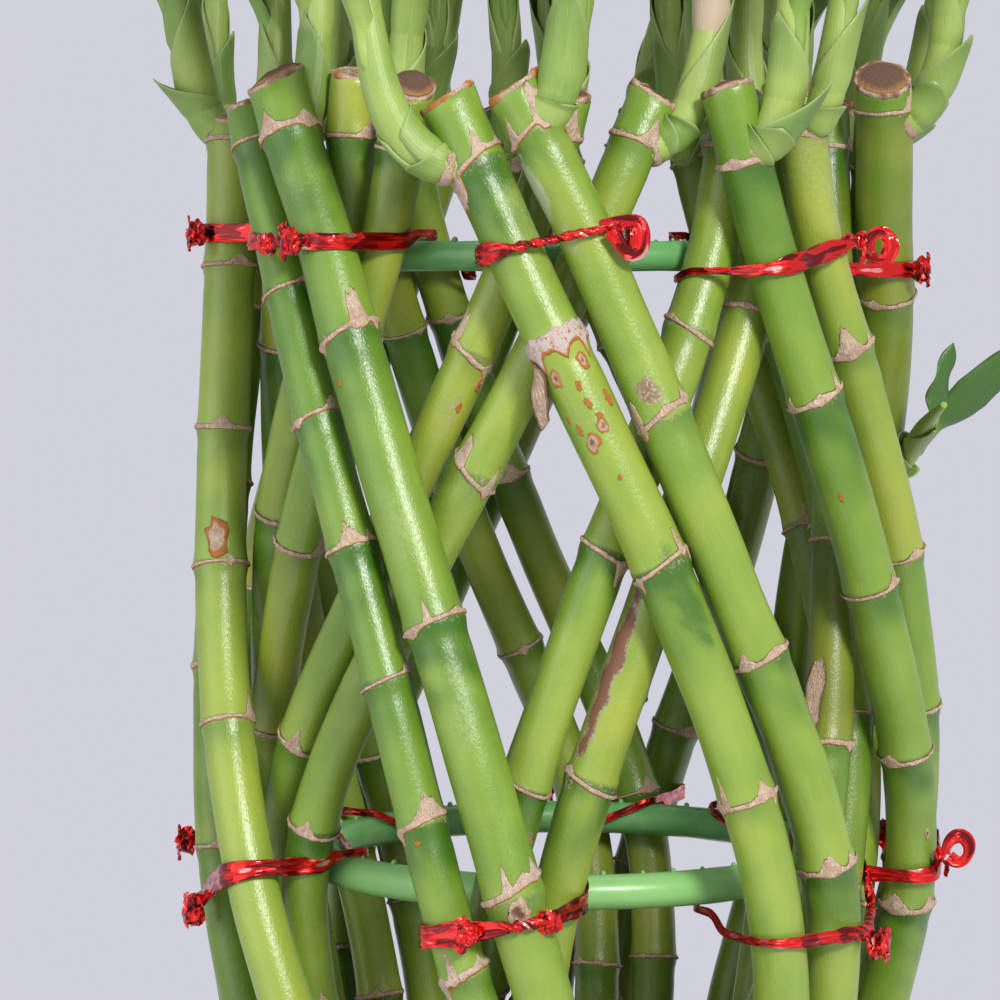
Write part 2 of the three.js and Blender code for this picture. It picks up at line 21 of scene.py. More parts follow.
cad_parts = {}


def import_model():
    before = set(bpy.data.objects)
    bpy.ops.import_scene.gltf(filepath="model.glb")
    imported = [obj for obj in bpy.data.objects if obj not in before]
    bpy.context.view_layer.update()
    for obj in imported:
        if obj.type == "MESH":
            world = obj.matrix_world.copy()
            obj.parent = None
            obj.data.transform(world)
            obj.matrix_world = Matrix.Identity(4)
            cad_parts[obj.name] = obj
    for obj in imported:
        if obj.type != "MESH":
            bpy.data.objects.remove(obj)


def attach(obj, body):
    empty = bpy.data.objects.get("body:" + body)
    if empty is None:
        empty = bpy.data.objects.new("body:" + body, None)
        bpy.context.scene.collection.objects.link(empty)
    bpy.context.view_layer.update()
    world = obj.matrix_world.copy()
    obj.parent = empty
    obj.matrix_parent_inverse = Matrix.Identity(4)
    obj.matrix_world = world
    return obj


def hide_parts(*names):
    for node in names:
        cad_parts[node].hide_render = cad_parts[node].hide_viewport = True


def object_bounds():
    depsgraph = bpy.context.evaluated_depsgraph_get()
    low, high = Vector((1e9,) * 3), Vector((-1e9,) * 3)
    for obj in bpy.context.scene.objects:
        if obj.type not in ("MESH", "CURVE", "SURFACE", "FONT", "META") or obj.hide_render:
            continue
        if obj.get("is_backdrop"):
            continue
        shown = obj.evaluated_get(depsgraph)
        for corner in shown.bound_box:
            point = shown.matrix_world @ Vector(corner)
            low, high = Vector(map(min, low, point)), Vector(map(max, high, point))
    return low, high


Kind = TypeVar("Kind")
Array = np.ndarray
Number = np.ndarray | float
Colour = tuple[float, float, float]
Line = tuple[tuple[float, float], ...]
Object = bpy.types.Object
Material = bpy.types.Material
LOG = logging.getLogger("lattice")
MM = 0.001

BUTT = 24.0
GRAVEL = 64.0
UPRIGHT = 70.0
LOWER_HOOP = 130.5
MIDDLE = 196.0
UPPER_HOOP = 262.0
CUT = 296.0
LEVELS = np.array([CUT, UPPER_HOOP, MIDDLE, LOWER_HOOP, UPRIGHT])
OUTER_RADIUS = np.array([71, 71.5, 75.5, 76.2, 67])
AXIS_DRIFT = np.array([-0.6, -0.6, 0.8, 1.4, 0])
LAYER_STEP = 12.3
PAIR_TURN = 45
CUT_TURN = 9
GRAVEL_TURN = 6
CUT_UNEVENNESS = 4


class Layer(Enum):
    """The two layers of the lattice, which wind opposite ways."""

    OUTER = ("outer", 1, 100, (7.5, 6.5, 5.9, 6, 6.4), 10.2)
    INNER = ("inner", -1, 200, (6.8, 6.4, 6.4, 6.4, 7), 9.5)

    def __init__(self, title: str, turn: int, seed: int, spread: Sequence[float], width: float) -> None:
        """Keeps the numbers of a layer.

        Args:
            title: Its name.
            turn: Which way it winds on its way down.
            seed: First number of its random draws.
            spread: Half the spread of a pair at each level, in degrees.
            width: Width of its thinner canes.
        """
        self.title = title
        self.turn = turn
        self.seed = seed
        self.spread = np.array(spread)
        self.width = width


def each(kind: Callable[..., Kind], rows: dict[str, tuple]) -> dict[str, Kind]:
    """One plan for each name, from its row of numbers."""
    return {name: kind(*row) for name, row in rows.items()}


def several(kind: Callable[..., Kind], rows: dict[str, tuple[tuple, ...]]) -> dict[str, tuple[Kind, ...]]:
    """Some plans for each name, from their rows of numbers."""
    return {name: tuple(kind(*row) for row in given) for name, given in rows.items()}


class Knot(Enum):
    """How a tie ends."""

    BALL = "ball"
    LOOP = "loop"
    BOW = "bow"
    FOLD = "fold"


@dataclass(frozen=True)
class TiePlan:
    """A tie: its place, its strands and its end.

    The strand's stops are places along it with its width and how far it is twisted to a rope there.
    """

    azimuth: float
    over: int
    front: float
    climb: float
    knot: int
    stops: Sequence[Colour] = ((0, 3.4, 0.0),)
    form: Knot = Knot.BALL
    knot_size: float = 2.5
    knot_at: float | None = None
    lump_at: float | None = None
    raised: float = 0.0


TWISTED_LEFT = ((-6, 3.4, 0), (-2, 2.4, 1), (12, 2.4, 1))
UPPER_TIES = (
    TiePlan(-90, 1, 5, 0, 1, ((-18, 3.0, 0), (-4, 3.4, 0), (4, 4.0, 0), (14, 3.8, 0)), knot_size=2.9),
    TiePlan(
        -44.5, 1, 3, 0, -1,
        ((-18, 3.4, 0), (-8, 3.6, 0), (-3, 2.2, 1), (2, 2.4, 0.9), (6, 3.8, 0), (17, 3.8, 0)),
        knot_size=2.6, knot_at=3, lump_at=-8,
    ),
    TiePlan(
        -1.6, -1, 3, 3.6, 1, ((-17, 4.6, 0), (-12, 4.4, 0), (-7, 2.2, 0.9), (11, 1.9, 1)), Knot.FOLD, 2.0
    ),
    TiePlan(
        46, 1, 1, 4, 1, ((-20, 1.4, 0), (-12, 3.8, 0), (1, 4.4, 0), (6, 2.6, 0.9), (14, 2.2, 1)), Knot.LOOP,
        knot_size=1.9,
    ),
    TiePlan(90, 1, -3, 0, -1, ((-14, 3.0, 0), (-6, 3.6, 0), (10, 3.8, 0)), knot_size=2.7),
    TiePlan(135, 1, 0, 4, 1, form=Knot.LOOP),
    TiePlan(180, -1, 0, -4, -1, TWISTED_LEFT),
    TiePlan(216, 1, 2, 2, 1, ((-6, 2.2, 1), (4, 2.2, 1), (7, 3.4, 0)), Knot.BOW),
)
LOWER_TIES = (
    TiePlan(-100, 1, 2, 0, 1, knot_size=3.1),
    TiePlan(
        -68, 1, -2.5, 6, -1,
        ((-20, 1.6, 1), (-10, 2.0, 0), (-3, 4.4, 0), (8, 5.0, 0), (15, 4.0, 0), (21, 2.0, 0)),
        knot_size=3.2, knot_at=-7, raised=-4,
    ),
    TiePlan(
        -10, 1, -3, 3, -1,
        ((-16, 4.6, 0), (-5, 5.2, 0), (0, 3.2, 0.4), (4, 2.4, 1), (9, 2.6, 0.8), (15, 4.4, 0)),
        knot_size=2.6, knot_at=-5.5, lump_at=10.5,
    ),
    TiePlan(
        43.5, 1, -8, 0, 1,
        ((-18, 1.6, 0), (-9, 2.8, 0), (-2, 2.6, 0), (1, 3.4, 0.4), (5, 3.2, 0.9), (16, 2.2, 1)),
        knot_size=3.1, raised=-3,
    ),
    TiePlan(86, 1, 1, 3, -1, ((-16, 3.2, 0), (-9, 3.8, 0), (10, 4.4, 0)), Knot.LOOP, 1.6, raised=4.5),
    TiePlan(127.5, 1, 0, 5, -1, TWISTED_LEFT),
    TiePlan(170, -1, 1, -3, 1, form=Knot.BOW),
    TiePlan(226, 1, 0, 4, -1, ((-6, 2.2, 1), (2, 2.4, 1), (6, 3.4, 0)), Knot.LOOP),
)


@dataclass(frozen=True)
class Given:
    """What is given for a cane that differs from the rule."""

    width: float
    azimuth: tuple[float, ...]
    joints: tuple[float, ...] = ()
    cut: float = 0.0


GIVEN = each(Given, {
    "outer_1a": (10.2, (-106, -104.5, -92, -80, -73), (284, 250, 212, 172, 133.6, 96)),
    "outer_1b": (10.9, (-92, -87.5, -80.3, -61, -49), (287, 259.7, 224.6, 195, 162, 100), 292),
    "outer_2a": (9.8, (-67, -53.5, -33.2, -19, -8), (285, 254.4, 228.4, 202.5, 175.7, 147.3, 116.9, 88), 294),
    "outer_2b": (12, (-54.5, -41, -22.2, -7.4, 3), (287, 245.7, 187.9, 133.2, 90), 299),
    "outer_3a": (11.5, (-18.9, -6.5, 16.2, 33.6, 42), (279.9, 243.9, 199.9, 152.3, 102), 294),
    "outer_3b": (11.3, (-7, 6.1, 26.4, 46, 53), (287, 229.9, 180.9, 136.9, 92), 296),
    "outer_4a": (10.9, (28.9, 37.6, 57, 79, 89.5), (281.5, 233.1, 193, 156.4, 122, 94), 296),
    "outer_4b": (10.2, (43.5, 50, 72.3, 93, 103.5), (287.6, 243, 199, 164.6, 128, 92), 295),
    "outer_5a": (12.2, (80.5, 89, 117.3, 125, 131), (294, 254, 214, 170, 126, 88), 300),
    "outer_5b": (10.4, (95, 103.5, 131, 139, 145)),
    "inner_2a": (10.4, (-46, -50, -81, -106, -109), (287, 249, 207, 164, 120, 84), 300),
    "inner_2b": (9.8, (-30.5, -38.5, -65, -93, -98), (284, 246, 201, 160, 118, 84), 297),
    "inner_3a": (9.3, (3, -8.4, -39.5, -75, -79), (287, 242.5, 203.8, 159.8, 118, 86), 295),
    "inner_3b": (10, (20.4, 5.6, -27.8, -60, -65), (285.5, 218, 180, 141.9, 100), 295),
    "inner_4a": (10.2, (39.5, 32.2, 5.8, -13.2, -19), (284, 246.8, 201.7, 154.4, 112, 84)),
    "inner_4b": (10.6, (54.7, 45.6, 18.2, -1.8, -7), (288, 250, 202, 155, 108, 84)),
    "inner_5a": (10, (92, 83.6, 66, 54, 40)),
    "inner_5b": (10, (106, 96.4, 79, 66, 54)),
})


@dataclass(frozen=True)
class ShootPlan:
    """Where a shoot leaves its cane, which way and how far it turns out, and where it rises to."""

    z: float
    direction: float
    reach: float
    slot: float
    radius: float
    rise: float = 0.0


GIVEN_SHOOTS = each(ShootPlan, {
    "outer_1b": (288.5, -100, 9, -82, 88),
    "outer_2a": (284, 153, 7.5, -67, 65),
    "outer_2b": (288, 150, 9.8, -54, 61.5),
    "outer_3a": (279.5, -80, 20, -31.5, 82),
    "outer_3b": (289, 62, 8, 3, 79),
    "outer_4a": (283, 60, 10.5, 35, 83),
    "outer_4b": (288, 40, 9, 49, 83),
    "outer_5a": (290, 78, 13, 77, 86),
    "outer_5b": (288, 100, 10, 96, 88),
    "inner_2b": (286, -175, 8.5, -26, 56),
    "inner_3a": (286, 165, 9, 10, 50),
    "inner_3b": (283.5, 96, 14.5, 35, 62),
    "inner_4a": (286, 222, 9, 42, 47),
})
SIDE_SHOOT = ShootPlan(214, 72, 9, 80, 84, 16)
SIDE_SHOOT_CANE = "outer_5a"
SIDE_SHOOT_WIDTH = 5


@dataclass(frozen=True)
class Tab:
    """A stretch of a node ring that runs up or down into a pointed scar, about where the camera sees it."""

    view: float
    width: float
    up: float
    down: float = 0.0
    blunt: bool = False


@dataclass(frozen=True)
class RingPlan:
    """A node ring: its band, its scars, its slope, its relief and how far it sits above the joint."""

    band: float
    tabs: tuple[Tab, ...]
    slope: float = 0.0
    slope_view: float = 90.0
    relief: float = 0.42
    shift: float = 0.0


def ring_plan(band: float, tabs: Sequence[tuple], *others: float) -> RingPlan:
    """A ring from its numbers, its tabs given as rows."""
    return RingPlan(band, tuple(Tab(*tab) for tab in tabs), *others)


RINGS = {(cane, joint): ring_plan(*row) for cane, rows in {
    "outer_2b": {
        0: (1.5, ((-40, 50, 3.4), (40, 40, 2.2, 1))),
        1: (1.3, ((27, 30, 5.4, 0.8, True), (-70, 30, 0.4, 1.4), (64, 20, 0.4, 2.6)), 1.4, 70),
        2: (1.2, ((-8, 13, 5.0), (-48, 50, 0.2, 1.4), (55, 30, 0.8)), 0.9, 60),
        3: (1.7, ((-6, 12, 4.6, 0, True), (30, 50, 1.6), (62, 30, 3.0, 0.6)), 1.7, 90, 0.6, 1.8),
    },
    "outer_2a": {
        1: (0.9, ((60, 60, 1.6),), 0.6, 80),
        2: (1.0, ((50, 50, 2.6), (-50, 30, 0.4, 1.0)), 0.8, 70),
        3: (1.1, ((4, 54, 3.8), (52, 16, 2.2)), 0.4, 60),
        4: (0.9, ((68, 50, 1.8),), 0.9, 80),
        5: (1.5, ((26, 74, 4.6), (-66, 26, 0.5, 2.2)), 1.2, 60, 0.55),
        6: (1.9, ((-24, 16, 4.0, 0.6, True), (-66, 40, 1.0, 5.4), (50, 30, 1.4)), 1.2, 60, 0.7),
    },
    "outer_3a": {
        0: (1.3, ((-68, 46, 4.0, 4.2, True), (16, 28, 3.6), (70, 24, 1.0)), 2.4, 60, 0.6),
        1: (4.4, ((56, 20, 0.8, 3.6), (-52, 24, 0.6, 3.4), (8, 34, 0.6, 2.4)), 0.2, 60, 0.9, 1.0),
        2: (1.2, ((60, 14, 3.4, 0.6, True), (-58, 16, 0.6, 3.2), (84, 20, 0.4, 2.8)), 1.5, 70),
        3: (1.4, ((-48, 14, 8.0), (-68, 34, 1.6, 1.2), (40, 50, 2.6), (62, 14, 0, 3)), 0.3, 70),
    },
    "outer_3b": {
        0: (1.3, ((-52, 24, 4.6), (40, 56, 4.6, 1.4, True), (66, 14, 1, 4)), 1.9, 60, 0.6),
        1: (1.3, ((-56, 22, 4.4, 1.4, True), (66, 24, 2.0, 0.8), (12, 60, 0.8)), 1.7, 70, 0.5),
        2: (1.2, ((-28, 34, 3.2, 0.4), (40, 60, 1.2)), 0.5, 80),
        3: (1.3, ((6, 44, 3.6, 0.8), (60, 30, 2.0), (-60, 30, 0.5, 1.6)), 0.2, 80, 0.5),
    },
    "outer_4a": {
        0: (1.7, ((-30, 60, 1.0), (40, 30, 1.2)), 0.3, 90, 0.6),
        1: (1.3, ((-62, 18, 2.6, 0.4), (60, 16, 3.6), (10, 60, 0.8, 0.6)), 0.8, 80),
        2: (1.0, ((60, 40, 1.6),), 0.3, 80),
        3: (1.1, ((-40, 50, 1.6, 0.6),), 0.2, 80),
        4: (1.7, ((-36, 60, 3.6, 0.6), (50, 40, 2.2)), 0.5, 80, 0.5),
    },
    "outer_4b": {
        1: (1.5, ((2, 54, 5.4, 0.8), (60, 20, 1.6)), 0.5, 80, 0.5),
        2: (1.0, ((40, 40, 1.8),), 0.4, 80),
    },
    "outer_1b": {
        1: (1.2, ((30, 50, 1.8),), 0.2, 80),
    },
    "inner_3a": {
        1: (1.3, ((-62, 24, 5.0, 0.8, True), (62, 34, 1.0, 1.6)), -1.9, 60, 0.6),
        3: (1.2, ((-14, 44, 3.6),), -1.0, 60),
    },
    "inner_3b": {
        1: (1.3, ((-50, 30, 4.2, 0.4, True), (48, 24, 4.6, 1.2)), -2.0, 60, 0.6),
        3: (1.3, ((-16, 44, 2.6),), -0.4, 60),
    },
    "inner_4a": {
        1: (1.2, ((-50, 40, 0.6),), -1.6, 60),
        2: (1.2, ((52, 34, 0.6, 4.4), (80, 20, 1.0)), -1.2, 60, 0.5),
        3: (1.1, ((70, 30, 1.6),), -1.1, 60),
    },
    "inner_4b": {
        3: (1.3, ((-60, 40, 1.2),), -1.5, 60, 0.5),
    },
}.items() for joint, row in rows.items()}


class Mark(Enum):
    """What a patch on a cane shows. The number is the channel of the marks attribute that holds it."""

    SHADE = 0
    STAIN = 1
    BLOOM = 2


@dataclass(frozen=True)
class Patch:
    """A patch on a cane between two heights, about a direction as the camera sees it."""

    low: float
    high: float
    view: float
    width: float
    mark: Mark
    amount: float = 1.0


PATCHES = several(Patch, {
    "inner_4b": ((159, 196, -44, 24, Mark.STAIN, 1.5), (150, 160, -52, 16, Mark.STAIN, 0.6)),
    "outer_3b": (
        (271, 284, -66, 30, Mark.BLOOM, 0.9),
        (231.5, 239, -6, 34, Mark.STAIN, 0.66),
        (262, 272, -40, 24, Mark.BLOOM, 0.45),
    ),
    "outer_3a": (
        (178, 206, 26, 60, Mark.SHADE, 0.85),
        (224, 242, 0, 60, Mark.STAIN, 0.34),
        (268, 276, 30, 34, Mark.BLOOM, 0.3),
    ),
    "inner_3a": ((224, 236, 20, 30, Mark.STAIN, 0.42),),
    "inner_4a": ((140, 147, 40, 24, Mark.STAIN, 0.7),),
    "outer_4a": ((258, 284, 0, 90, Mark.SHADE, 0.5),),
    "outer_2b": ((160, 182, 10, 40, Mark.BLOOM, 0.35), (262, 282, 0, 90, Mark.SHADE, 0.7)),
})


@dataclass(frozen=True)
class Spot:
    """A corky blister on a cane: height, direction as the camera sees it, half width and half height.

    A scar is one that a bud has left: rough and dark inside a tan rim.
    """

    z: float
    view: float
    across: float
    up: float
    scar: bool = False


@dataclass(frozen=True)
class Cut:
    """A cut end: how far it slants, towards which side the camera sees it fall, its dome and its age."""

    slant: float
    view: float
    dome: float
    age: float


@dataclass(frozen=True)
class Flap:
    """A torn strip of sheath: height and direction of its root, its length and how far it stands off."""

    z: float
    view: float
    length: float
    stand: float


FLAPS = each(Flap, {"outer_3a": (242.5, -72, 10.5, 1.0), "inner_5a": (176, -34, 18, 0.25)})
CUTS = each(Cut, {
    "outer_1b": (0.3, 20, 1.2, 0.9),
    "outer_2b": (0.5, -30, 2.2, 1.1),
    "outer_2a": (0.3, -20, 1.0, 0.8),
    "outer_3a": (0.24, -50, 0.3, 0.15),
    "outer_3b": (0.22, -60, 0.2, 0.3),
    "outer_4a": (0.2, 190, 1.4, 1.1),
    "outer_5a": (0.32, 5, 1.6, 1.1),
    "inner_2a": (0.12, -20, 0.2, 0.5),
    "inner_2b": (0.5, -10, 2.4, 1.1),
    "inner_3a": (0.35, -30, 0.8, 0.9),
    "inner_3b": (0.3, 40, 0.5, 0.8),
    "inner_4a": (0.25, 30, 0.4, 0.4),
})

SPOTS = several(Spot, {
    "outer_3a": (
        (225.8, -20, 1.5, 2.1),
        (227.6, 14, 1.2, 1.6),
        (238.8, -34, 1.1, 1.8),
        (239.7, 34, 1.2, 1.6),
        (235.8, 4, 0.6, 0.9),
        (232.4, 6, 0.7, 1.0),
        (228.6, -34, 0.5, 1.0),
        (231, -50, 0.4, 0.7),
        (229.4, 16, 0.6, 0.7),
        (231.6, 52, 0.7, 2.0),
        (218, 0, 0.4, 0.5),
        (240.6, -66, 0.7, 2.2),
    ),
    "outer_2b": ((130.6, 4, 2.5, 3.0, True), (236.8, -50, 0.45, 0.75)),
    "outer_1b": ((200.3, -2, 2.7, 4.2),),
    "outer_2a": ((144, -20, 0.6, 0.6),),
    "inner_4a": ((144, 46, 1.0, 1.6),),
    "inner_3a": ((237.5, 58, 0.9, 1.8), (232.5, 27, 0.6, 0.9)),
    "outer_4a": ((139.5, 34, 0.6, 1.2, True), (214, -10, 0.35, 1.0)),
})

# Lightness and yellowness of each cane's stretches, and the shade under the ring above each, from 0 to 1 and
# from the top down
TONES: dict[str, tuple[tuple[float, float, float], ...]] = {
    "outer_1b": (
        (0.5, 0.5, 0), (0.6, 0.5, 0.3), (0.65, 0.5, 0.3),
        (0.65, 0.5, 0.4), (0.72, 0.5, 0.4), (0.75, 0.45, 0.4),
    ),
    "outer_2a": (
        (0.12, 0.05, 0), (0.16, 0.05, 0.6), (0.12, 0.05, 0.7), (0.26, 0.08, 0.6),
        (0.32, 0.1, 0.9), (0.36, 0.12, 0.7), (0.45, 0.2, 0.9), (0.5, 0.25, 0.5),
    ),
    "outer_2b": (
        (0.36, 0.2, 0), (0.28, 0.15, 0.7), (0.34, 0.2, 0.75),
        (0.42, 0.2, 0.9), (0.62, 0.3, 0.4), (0.6, 0.3, 0.3),
    ),
    "outer_3a": (
        (0.45, 0.4, 0), (0.55, 0.4, 0.9), (0.66, 0.5, 0.1),
        (0.55, 0.3, 1), (0.6, 0.35, 0.35), (0.5, 0.3, 0.4),
    ),
    "outer_3b": (
        (0.5, 0.4, 0), (0.5, 0.45, 0.5), (0.55, 0.4, 0.45),
        (0.58, 0.35, 0.6), (0.6, 0.35, 0.75), (0.5, 0.3, 0.5),
    ),
    "outer_4a": (
        (0.3, 0.3, 0), (0.3, 0.2, 0.9), (0.42, 0.35, 0.9),
        (0.5, 0.35, 0.6), (0.5, 0.35, 0.7), (0.45, 0.3, 0.8),
    ),
    "outer_4b": (
        (0.6, 0.6, 0), (0.55, 0.6, 0.3), (0.6, 0.6, 0.3),
        (0.5, 0.45, 0.4), (0.45, 0.4, 0.5), (0.45, 0.3, 0.5),
    ),
    "outer_5a": (
        (0.3, 0.5, 0), (0.3, 0.75, 0.3), (0.3, 0.7, 0.5),
        (0.3, 0.6, 0.4), (0.35, 0.5, 0.4), (0.35, 0.4, 0.4),
    ),
    "inner_2a": ((0.7, 0.7, 0), (0.4, 0.5, 0.6), (0.4, 0.5, 0.5)),
    "inner_3a": (
        (0.5, 0.6, 0), (0.55, 0.6, 0.3), (0.66, 0.65, 0.3),
        (0.45, 0.4, 0.4), (0.4, 0.3, 0.5), (0.4, 0.3, 0.5),
    ),
    "inner_3b": ((0.45, 0.5, 0), (0.55, 0.5, 0.4), (0.6, 0.5, 0.4), (0.5, 0.4, 0.5), (0.4, 0.3, 0.7)),
    "inner_4a": (
        (0.4, 0.45, 0), (0.5, 0.45, 0.3), (0.55, 0.4, 0.4),
        (0.62, 0.4, 0.7), (0.5, 0.35, 0.9), (0.5, 0.3, 0.5),
    ),
    "inner_4b": (
        (0.4, 0.5, 0), (0.5, 0.55, 0.3), (0.55, 0.6, 0.4),
        (0.55, 0.62, 0.3), (0.6, 0.55, 0.8), (0.5, 0.4, 0.5),
    ),
}


def draw(number: float) -> float:
    """A repeatable draw between 0 and 1 for a number, as the solids use it."""
    value = math.sin(number * 12.9898 + 4.1) * 43758.5453
    return value - math.floor(value)


def at_level(values: Sequence[float], height: Number) -> Array:
    """Smooth curve through values given at the falling levels.

    Args:
        values: One value for each of LEVELS.
        height: Heights to read, in millimetres.

    Returns:
        The values at those heights: upright at the last level and constant below it.
    """
    given = np.asarray(values, float)
    last = len(LEVELS) - 1
    z = np.maximum(np.asarray(height, float), LEVELS[last])
    above = np.maximum(np.arange(last) - 1, 0)
    slope = np.append((given[1:] - given[above]) / (LEVELS[1:] - LEVELS[above]), 0.0)
    i = np.clip(np.searchsorted(-LEVELS, -z, side="left") - 1, 0, last - 1)
    span = LEVELS[i + 1] - LEVELS[i]
    t = (z - LEVELS[i]) / span
    t2, t3 = t * t, t * t * t
    return (
        (2 * t3 - 3 * t2 + 1) * given[i]
        + (t3 - 2 * t2 + t) * span * slope[i]
        + (3 * t2 - 2 * t3) * given[i + 1]
        + (t3 - t2) * span * slope[i + 1]
    )


def heading(azimuth: Number) -> Array:
    """Horizontal unit vectors of azimuths in degrees, in the last axis."""
    a = np.radians(azimuth)
    return np.stack([np.sin(a), -np.cos(a), np.zeros_like(a)], axis=-1)


def unit(vectors: Array) -> Array:
    """Vectors scaled to length 1."""
    return vectors / np.maximum(np.linalg.norm(vectors, axis=-1, keepdims=True), 1e-9)


def columns(*values: Number) -> Array:
    """Rows of numbers from their columns, where a plain number holds for every row."""
    return np.stack(np.broadcast_arrays(*values), axis=-1)


def spoke(turn: Array) -> Array:
    """Level unit vectors at turns in degrees from the X axis."""
    return columns(np.cos(np.radians(turn)), np.sin(np.radians(turn)), 0.0)


def bell(value: Array, width: float) -> Array:
    """A smooth hill of height 1 about 0."""
    return np.exp(-((value / width) ** 2))


def dot(a: Array, b: Array) -> Array:
    """Dot products over the last axis, kept as a column."""
    return (a * b).sum(axis=-1, keepdims=True)


def ease(low: float, high: float, value: Array) -> Array:
    """A smooth step from 0 at low to 1 at high."""
    t = np.clip((value - low) / (high - low), 0, 1)
    return t * t * (3 - 2 * t)


def ripple(points: Array, seed: int, size: float, waves: int = 6) -> Array:
    """A smooth wave without pattern, about -1 to 1.

    Args:
        points: Places, one a row.
        seed: Which wave.
        size: About the distance between crests.
        waves: How many plain waves it is made of.

    Returns:
        One height a place.
    """
    rng = np.random.default_rng(seed)
    ways = unit(rng.normal(size=(waves, 3))) * rng.uniform(0.5, 1.5, (waves, 1)) * 2 * math.pi / size
    return np.sin(points @ ways.T + rng.uniform(0, 2 * math.pi, waves)).sum(axis=1) / math.sqrt(waves * 1.6)


def turn_gap(a: Array, b: float) -> Array:
    """Difference of two angles in degrees, from -180 to 180."""
    return (np.asarray(a) - b + 180) % 360 - 180


RING_SECTION = 0.25


class Pick(Enum):
    """What edit mode selects."""

    POINTS = (True, False, False)
    EDGES = (False, True, False)
    FACES = (False, False, True)


